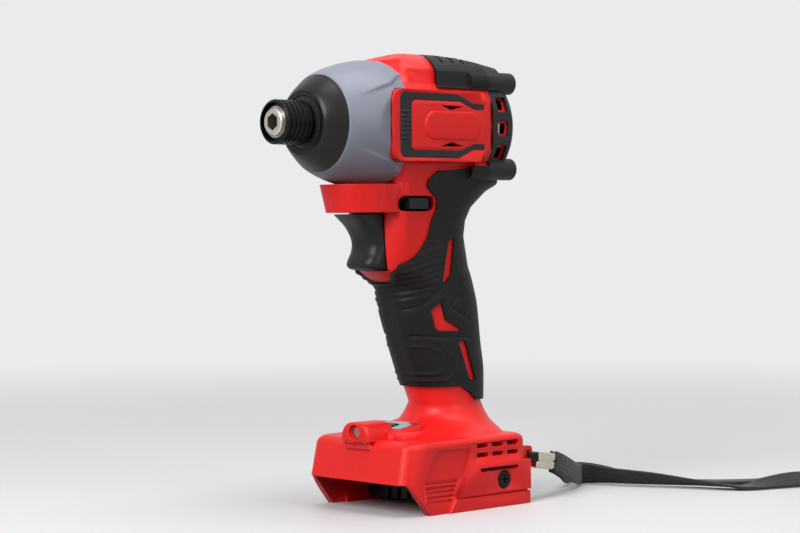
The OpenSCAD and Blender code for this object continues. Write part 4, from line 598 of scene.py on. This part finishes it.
def weldedCopy(node):
    # the node's own mesh with its doubles merged; its points stay where they are
    work = bmesh.new()
    work.from_mesh(nodes[node].data)
    bmesh.ops.remove_doubles(work, verts=work.verts, dist=1e-6)
    bmesh.ops.dissolve_degenerate(work, edges=work.edges, dist=1e-7)
    mesh = bpy.data.meshes.new(node + ".smooth")
    work.to_mesh(mesh)
    work.free()
    mesh.materials.append(nodes[node].data.materials[0])
    mesh.shade_smooth()
    return addObject(node + ".smooth", mesh)


for name in shell["nodes"]:
    piece = weldedCopy(name)
    sharpen(piece, shell["angle"])
    weigh = piece.modifiers.new("weigh", "WEIGHTED_NORMAL")  # normals weighted by area
    weigh.keep_sharp = True
    standFor(piece, name)
print("housings: welded and smoothed")

# trigger: front line (height, reach) in mm, softened sides and foot; inset keeps the form inside the solid's front
finger = {"half": 9.95, "deep": 7.5, "square": 0.72, "rear": -9.5, "top": 132.25, "foot": 107.35, "toe": 2.4,
          "inset": 0.06, "each": 10, "steps": (14, 50, 61), "sharp": 32, "front": np.array([
    (106, 15.9), (108.6, 16.25), (110.2, 16.35), (112, 15.65), (115, 13.95), (118, 13.2), (120, 13.38), (122, 14.1),
    (124, 15.25), (126, 16.75), (128, 18.7), (130, 21.2), (132.4, 24.2)])}


def makeTrigger(look):
    # each level is a flattened half-ellipse ahead of straight sides; towards the foot it shrinks by a quarter circle
    ankle = look["foot"] + look["toe"]
    toeRows, rows, columns = look["steps"]
    z = np.r_[np.linspace(look["foot"], ankle, toeRows), np.linspace(ankle, look["top"], rows)[1:]]
    front = throughPoints(look["front"], look["each"])
    reach = np.interp(z, front[:, 0], front[:, 1])[:, None] - look["inset"]
    pull = drawIn(look["toe"], z - look["foot"], look["toe"])
    a = np.linspace(-np.pi / 2, np.pi / 2, columns)[None]
    half = look["half"] - pull
    y = half * np.sign(np.sin(a)) * np.abs(np.sin(a)) ** look["square"]
    x = reach - pull - look["deep"] * (1 - np.abs(np.cos(a)) ** look["square"])
    back = np.full_like(reach, look["rear"])
    x, y = np.hstack([back, x, back]), np.hstack([-half, y, half])
    form = gridPiece("triggerForm", np.stack([x, y, z[:, None] + 0 * x], -1) / mmPerM, blackNylon)
    piece = weldedCopy("trigger")
    cutPiece(piece, [form], "INTERSECT")
    sharpen(piece, look["sharp"])
    standFor(piece, "trigger")
    print("trigger:", len(piece.data.polygons), "faces")


makeTrigger(finger)

# nose cover: dome over the hammer case with flats beside the panels, mm; soften is the soft minimum's reach by x
# crease is the line (x, height) above and below the flat over which the brow rises
dome = {"axis": 172, "front": 37.85, "rear": 7.35, "lip": 21.3, "reach": 28.4, "crown": 24, "bulge": 1.35, "wall": 1.6,
        "flat": 25.8, "flatX": 17.65, "lean": 0.158, "soften": ((17, 33), (0.05, 0.6)), "turns": 360,
        "rows": (44, 12, 0.4), "crease": [(9, 19.4), (16, 15.8), (22, 14), (30.3, 11.2), (34, 10)],
        "brow": {"rise": 0.95, "run": 1.1, "hold": 1, "fade": 5, "end": 32, "endRun": 9, "side": 0.2}, "sharp": 35,
        "panel": (-42.15, 17.85, 154.98, 187.02, 6.2), "panelFrom": 16.6, "out": 40, "sill": 145.6,
        "sillX": (-20, 60), "sillLow": 120}


def makeDome(look):
    # radius grows from the lip as a superellipse of the distance back; the flat pulls it in by a soft minimum that
    # sharpens to the rear; a brow above and below the flat rises over a drawn line and dies away from it
    rows, rearRows, step = look["rows"]
    t = np.linspace(0, 1, rows)
    r = look["lip"] + (look["reach"] - look["lip"]) * (1 - (1 - t) ** look["bulge"]) ** (1 / look["bulge"])
    behind = look["front"] - look["crown"]
    x = np.r_[look["front"] - look["crown"] * t, behind - np.linspace(step, behind - look["rear"], rearRows)]
    r = np.r_[r, np.full(rearRows, look["reach"])]
    turn = np.linspace(0, 2 * np.pi, look["turns"], endpoint=False)[:, None]
    sideways = np.abs(np.cos(turn))
    # the flat's distance in each direction, kept finite above and below
    limit = (look["flat"] + look["lean"] * np.clip(x - look["flatX"], 0, None)) / np.maximum(sideways, 0.05)
    soft = np.interp(x, *look["soften"])[None]
    outer = -soft * np.logaddexp(-r[None] / soft, -limit / soft)
    over = np.abs(outer * np.sin(turn)) - np.interp(x, *np.array(look["crease"]).T)[None]
    brow = look["brow"]
    rise = brow["rise"] * np.clip(over / brow["run"], 0, 1)
    rise = rise * np.exp(-np.clip(over - brow["hold"], 0, None) / brow["fade"])
    rise = rise * np.clip((brow["end"] - x) / brow["endRun"], 0, 1) * (sideways > brow["side"])
    inner = np.minimum(outer, r[None]) - look["wall"]
    ring = np.concatenate([outer + rise, inner[:, ::-1]], 1)
    along = np.broadcast_to(np.r_[x, x[::-1]], ring.shape)
    points = np.stack([along, ring * np.cos(turn), look["axis"] + ring * np.sin(turn)], -1) / mmPerM
    piece = gridPiece("noseDome", points, greyNylon, looped=True)
    panel, out = roundRect(*look["panel"]), look["out"]
    cutPiece(piece, [outlinePrism("panelRoom", panel, look["panelFrom"] * k, out * k) for k in (1, -1)], "DIFFERENCE")
    (rear, front), low, high = look["sillX"], look["sillLow"], look["sill"]
    sill = [(front, low), (front, high), (rear, high), (rear, low)]
    cutPiece(piece, [outlinePrism("sillRoom", sill, -out, out)], "DIFFERENCE")
    sharpen(piece, look["sharp"])
    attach(piece, "tool_body")
    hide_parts("nose_cover")
    print("nose cover:", len(piece.data.polygons), "faces")


makeDome(dome)

# finger ribs on the trim's front bar, mm; ramp is the run-out along and across, root how deep the underside lies
ribs = {"x": (7.4, 12.6), "mid": 171, "half": 6.8, "pitch": 1.95, "face": 27.0, "rise": 0.55, "round": 0.7,
        "ramp": (0.5, 0.4), "sink": 0.08, "base": 0.1, "root": 0.6, "steps": (14, 160), "sharp": 50}


def makeRibs(look, side):
    # a plate whose height is a rounded wave across z, run down to the trim at its four edges; its underside lies in it
    (rear, front), half = look["x"], look["half"]
    x = np.linspace(rear, front, look["steps"][0])[:, None]
    z = np.linspace(-half, half, look["steps"][1])[None]
    wave = (0.5 + 0.5 * np.cos(2 * np.pi * z / look["pitch"])) ** look["round"]
    edge = np.clip(np.minimum(x - rear, front - x) / look["ramp"][0], 0, 1)
    edge = edge * np.clip((half - np.abs(z)) / look["ramp"][1], 0, 1)
    y = look["face"] - look["sink"] + (look["base"] + look["rise"] * wave) * edge
    top = np.stack([x + 0 * z, y, look["mid"] + z + 0 * x], -1)
    under = top * (1, 0, 1) + (0, look["face"] - look["root"], 0)
    points = np.concatenate([top, under[:, ::-1]], 1) * (1, side, 1) / mmPerM
    piece = gridPiece("trimRibsLeft" if side > 0 else "trimRibsRight", points, charcoalNylon)
    sharpen(piece, look["sharp"])
    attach(piece, "tool_body")


for side in (1, -1):
    makeRibs(ribs, side)
print("trim ribs: 2")

# control panel: film on a red wedge that tilts to the front, with its button, mm
# a level is (offset outwards, height, share of the tilt); film levels are offset from the rim
desk = {"x": (-11.8, 3.9), "half": 13.8, "corner": 3.2, "front": 36.0, "rear": 38.2, "rim": 1.3, "sharp": 40,
        "wedge": [(0.5, 34.9, 0), (0.2, -0.7, 1), (0, -0.35, 1), (-0.3, -0.1, 1), (-0.7, 0, 1), (-1.2, 0, 1),
                  (-1.3, -0.1, 1)],
        "film": [(-0.05, -0.3, 1), (-0.05, 0.1, 1), (-0.15, 0.2, 1)],
        "button": {"x": (-6.0, 0.2), "half": 4.3, "corner": 1.4, "room": 0.3, "roomZ": (30, 45), "proud": 0.55,
                   "deep": 1.9, "sharp": 50}}


def tiltedPlate(name, look, x, half, corner, levels, finish):
    # rounded outlines stacked by level, the tilt being a plane in x
    slope = (look["front"] - look["rear"]) / (look["x"][1] - look["x"][0])
    rows = []
    for grow, height, share in levels:
        flat = roundRect(x[0] - grow, x[1] + grow, -half - grow, half + grow, corner + grow)
        tilt = look["rear"] + slope * (flat[:, 0] - look["x"][0])
        rows.append(np.column_stack([flat, share * tilt + height]))
    return gridPiece(name, np.stack(rows) / mmPerM, finish)


def makeDesk(look):
    # three tilted plates; the button's room is cut through the lower two
    place = (look["x"], look["half"], look["corner"])
    wedge = tiltedPlate("panelWedge", look, *place, look["wedge"], redNylon)
    levels = [(-look["rim"] + grow, height, share) for grow, height, share in look["film"]]
    film = tiltedPlate("panelFilm", look, *place, levels, panelFilm)
    key = look["button"]
    (rear, front), half, room, top = key["x"], key["half"], key["room"], key["proud"]
    outline = roundRect(rear - room, front + room, -half - room, half + room, key["corner"] + room)
    for piece in (wedge, film):
        cutPiece(piece, [outlinePrism("keyRoom", outline, *key["roomZ"], 2)], "DIFFERENCE")
        sharpen(piece, look["sharp"])
    levels = [(0, -key["deep"], 1), (0, top - 0.4, 1), (-0.12, top - 0.15, 1), (-0.4, top, 1), (-1.2, top + 0.08, 1)]
    button = tiltedPlate("modeButton", look, key["x"], half, key["corner"], levels, blackNylon)
    sharpen(button, key["sharp"])
    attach(wedge, "tool_body")
    standFor(film, "control_panel")
    standFor(button, "mode_button")
    print("control panel: wedge, film and button")


makeDesk(desk)

# lamp hood on the foot's front: rounded cover with a deep mouth for the lens, mm
hood = {"half": 9.3, "low": 31.4, "top": 39.8, "x": (1.6, 18.1), "round": 1.8, "square": 0.7, "plain": (2.4, 10),
        "steps": (9, 61), "mouth": 3.5, "lens": 35.2, "mouthX": (12, 25), "mouthStep": 6, "sharp": 40}


def makeHood(look):
    # a squared-off half-ellipse carried along the tool; it draws in at both ends by a quarter circle
    (rear, front), bend = look["x"], look["round"]
    inset, rows = look["plain"]
    step = bend * (1 - np.cos(np.linspace(0, np.pi / 2, look["steps"][0])))
    x = np.r_[rear + step, np.linspace(rear + inset, front - inset, rows), front - step[::-1]]
    draw = drawIn(bend, np.minimum(x - rear, front - x), bend)
    t = np.linspace(0, np.pi, look["steps"][1])[None]
    y = (look["half"] - draw) * np.sign(np.cos(t)) * np.abs(np.cos(t)) ** look["square"]
    z = look["low"] + (look["top"] - draw - look["low"]) * np.sin(t) ** look["square"]
    piece = gridPiece("lampHood", np.stack([x[:, None] + 0 * y, y, z], -1) / mmPerM, redNylon)
    a = np.radians(np.arange(0, 360, look["mouthStep"]))
    mouth = np.stack([look["mouth"] * np.cos(a), look["lens"] + look["mouth"] * np.sin(a)], -1)
    cutPiece(piece, [outlinePrism("mouth", mouth, *look["mouthX"], 0)], "DIFFERENCE")
    sharpen(piece, look["sharp"])
    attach(piece, "tool_body")
    print("lamp hood:", len(piece.data.polygons), "faces")


makeHood(hood)

# bare plate on each side panel, mm
plate = {"x": (-35.1, -1.8), "z": (165.2, 177.2), "corner": 5.4, "face": 27.0, "rise": 0.6, "arc": 12, "sharp": 50}


def makePlate(look, side):
    # rounded outlines stacked outwards as (offset, height), drawn in at the top edge
    (x0, x1), (z0, z1), rise = look["x"], look["z"], look["rise"]
    rows = []
    for grow, height in ((0.35, -0.1), (0.2, 0.25), (0, rise - 0.1), (-0.3, rise), (-1.0, rise + 0.05)):
        flat = roundRect(x0 - grow, x1 + grow, z0 - grow, z1 + grow, look["corner"] + grow, look["arc"])
        rows.append(np.insert(flat, 1, side * (look["face"] + height), 1))
    piece = gridPiece("barePlateLeft" if side > 0 else "barePlateRight", np.stack(rows) / mmPerM, redNylon)
    sharpen(piece, look["sharp"])
    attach(piece, "tool_body")


for side in (1, -1):
    makePlate(plate, side)
print("side plates: 2")

# the three coil springs, mm: joint and its travel, span along x, radius of the coil at both
# ends, wire radius, turns, height of the axis; each wire fits in the room left at the end of the travel
springs = {"trigger_spring": {"name": "triggerCoil", "joint": "trigger_slide", "travel": 6, "span": (-5.48, 11.1),
                              "coil": (4.4, 4.4), "wire": 0.5, "turns": 6, "height": 119.8},
           "hammer_spring": {"name": "hammerCoil", "joint": "hammer_slide", "travel": 7, "span": (-6.3, 10.3),
                             "coil": (12.5, 12.5), "wire": 1.1, "turns": 3, "height": 172},
           "sleeve_spring": {"name": "sleeveCoil", "joint": "sleeve_slide", "travel": 4, "span": (59.8, 54.62),
                             "coil": (6.5, 7.7), "wire": 0.24, "turns": 2.5, "height": 172}}


def makeSpring(node, look):
    # a circle of the wire's radius carried round a helix whose radius may grow on the way
    perTurn, sides = 40, 12
    (start, end), (r0, r1) = look["span"], look["coil"]
    side = np.sign(end - start) * look["wire"]
    t = np.linspace(0, 1, int(look["turns"] * perTurn))[:, None]
    turn, ring = 2 * np.pi * look["turns"] * t, np.linspace(0, 2 * np.pi, sides, endpoint=False)[None]
    r = r0 + (r1 - r0) * t + look["wire"] * np.cos(ring)
    x = start + side + (end - start - 2 * side) * t + look["wire"] * np.sin(ring)
    points = np.stack([x, r * np.cos(turn), look["height"] + r * np.sin(turn)], -1) / mmPerM
    piece = gridPiece(look["name"], points, turnedSteel)
    standFor(piece, node)
    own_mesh(piece)


for node, look in springs.items():
    makeSpring(node, look)

# studio, in metres: pale floor, three soft boxes (name, place, size, watts) aimed at the grip, pale room
# bounce is what the floor throws back at the object, dark as the photo's table; from far on the floor fades to the room
studio = {"floor": "#DCDCDE", "cloud": "#D7D7D9", "bounce": "#5A5654", "rough": 0.55, "room": 0.83, "fill": 0.2,
          "radius": 12, "rings": 24, "spokes": 64, "drop": 0.0001, "far": (0.25, 1.1), "aim": (0, 0, 0.11), "boxes": [
    ("keyBox", (1.1, 0.25, 0.8), 0.8, 15.0), ("sideBox", (-0.15, 1.25, 0.6), 0.9, 4.0),
    ("topBox", (-0.1, 0.2, 1.4), 1.0, 11.0)]}


def paintedFloor(add, place, look):
    # pale paint with a slow cloud; dark to diffuse rays, and far out it glows like the room
    cloud = add("TexNoise", {"Scale": 3, "Detail": 3}, {"Vector": place})
    tone = add("Mix", {"data_type": "RGBA", 6: look["floor"], 7: look["cloud"]}, {"Factor": cloud})
    ray = add("LightPath")
    lit = add("Mix", {"data_type": "RGBA", 7: look["bounce"]},
              {"Factor": ray.outputs["Is Diffuse Ray"], 6: tone.outputs[2]})
    shader = add("BsdfPrincipled", {"Roughness": look["rough"]}, {"Base Color": lit.outputs[2]})
    reach = add("VectorMath", {"operation": "LENGTH"}, {0: place})
    far = add("MapRange", {"interpolation_type": "SMOOTHSTEP", "From Min": look["far"][0],
                           "From Max": look["far"][1]}, {"Value": reach.outputs["Value"]})
    seen = add("Math", {"operation": "MULTIPLY"}, {0: ray.outputs["Is Camera Ray"], 1: far})
    glow = add("Emission", {"Color": (1, 1, 1, 1), "Strength": look["room"]})
    return add("MixShader", None, {0: seen, 1: shader, 2: glow})


def makeStudio(look):
    # floor: a disc grid, radius growing with the square of its step
    r = np.linspace(0, 1, look["rings"])[:, None] ** 2 * look["radius"]
    a = np.linspace(0, 2 * np.pi, look["spokes"], endpoint=False)[None, :]
    disc = np.stack([r * np.cos(a), r * np.sin(a), 0 * r * a - look["drop"]], -1)
    floor = gridPiece("floor", disc[::-1], newMaterial("paintedFloor", paintedFloor, look), ends=False)
    world = bpy.data.worlds.new("paleRoom")
    world.use_nodes = True
    world.node_tree.nodes.clear()
    add = partial(addNode, world.node_tree)
    ray = add("LightPath")
    clear = add("Math", {"operation": "MAXIMUM"},
                {0: ray.outputs["Is Camera Ray"], 1: ray.outputs["Is Transmission Ray"]})
    seen = add("Math", {"operation": "MAXIMUM"}, {0: clear, 1: ray.outputs["Is Glossy Ray"]})
    level = add("MapRange", {"To Min": look["fill"], "To Max": look["room"]}, {"Value": seen})
    glow = add("Background", {"Color": (1, 1, 1, 1)}, {"Strength": level})
    add("OutputWorld", None, {"Surface": glow})
    bpy.context.scene.world = world
    for name, place, size, power in look["boxes"]:
        lamp = bpy.data.lights.new(name, "AREA")
        lamp.shape, lamp.size, lamp.energy = "DISK", size, power
        box = addObject(name, lamp)
        box.location = place
        box.rotation_euler = (Vector(look["aim"]) - Vector(place)).to_track_quat("-Z", "Y").to_euler()


makeStudio(studio)
print("studio: lamps", len(studio["boxes"]))
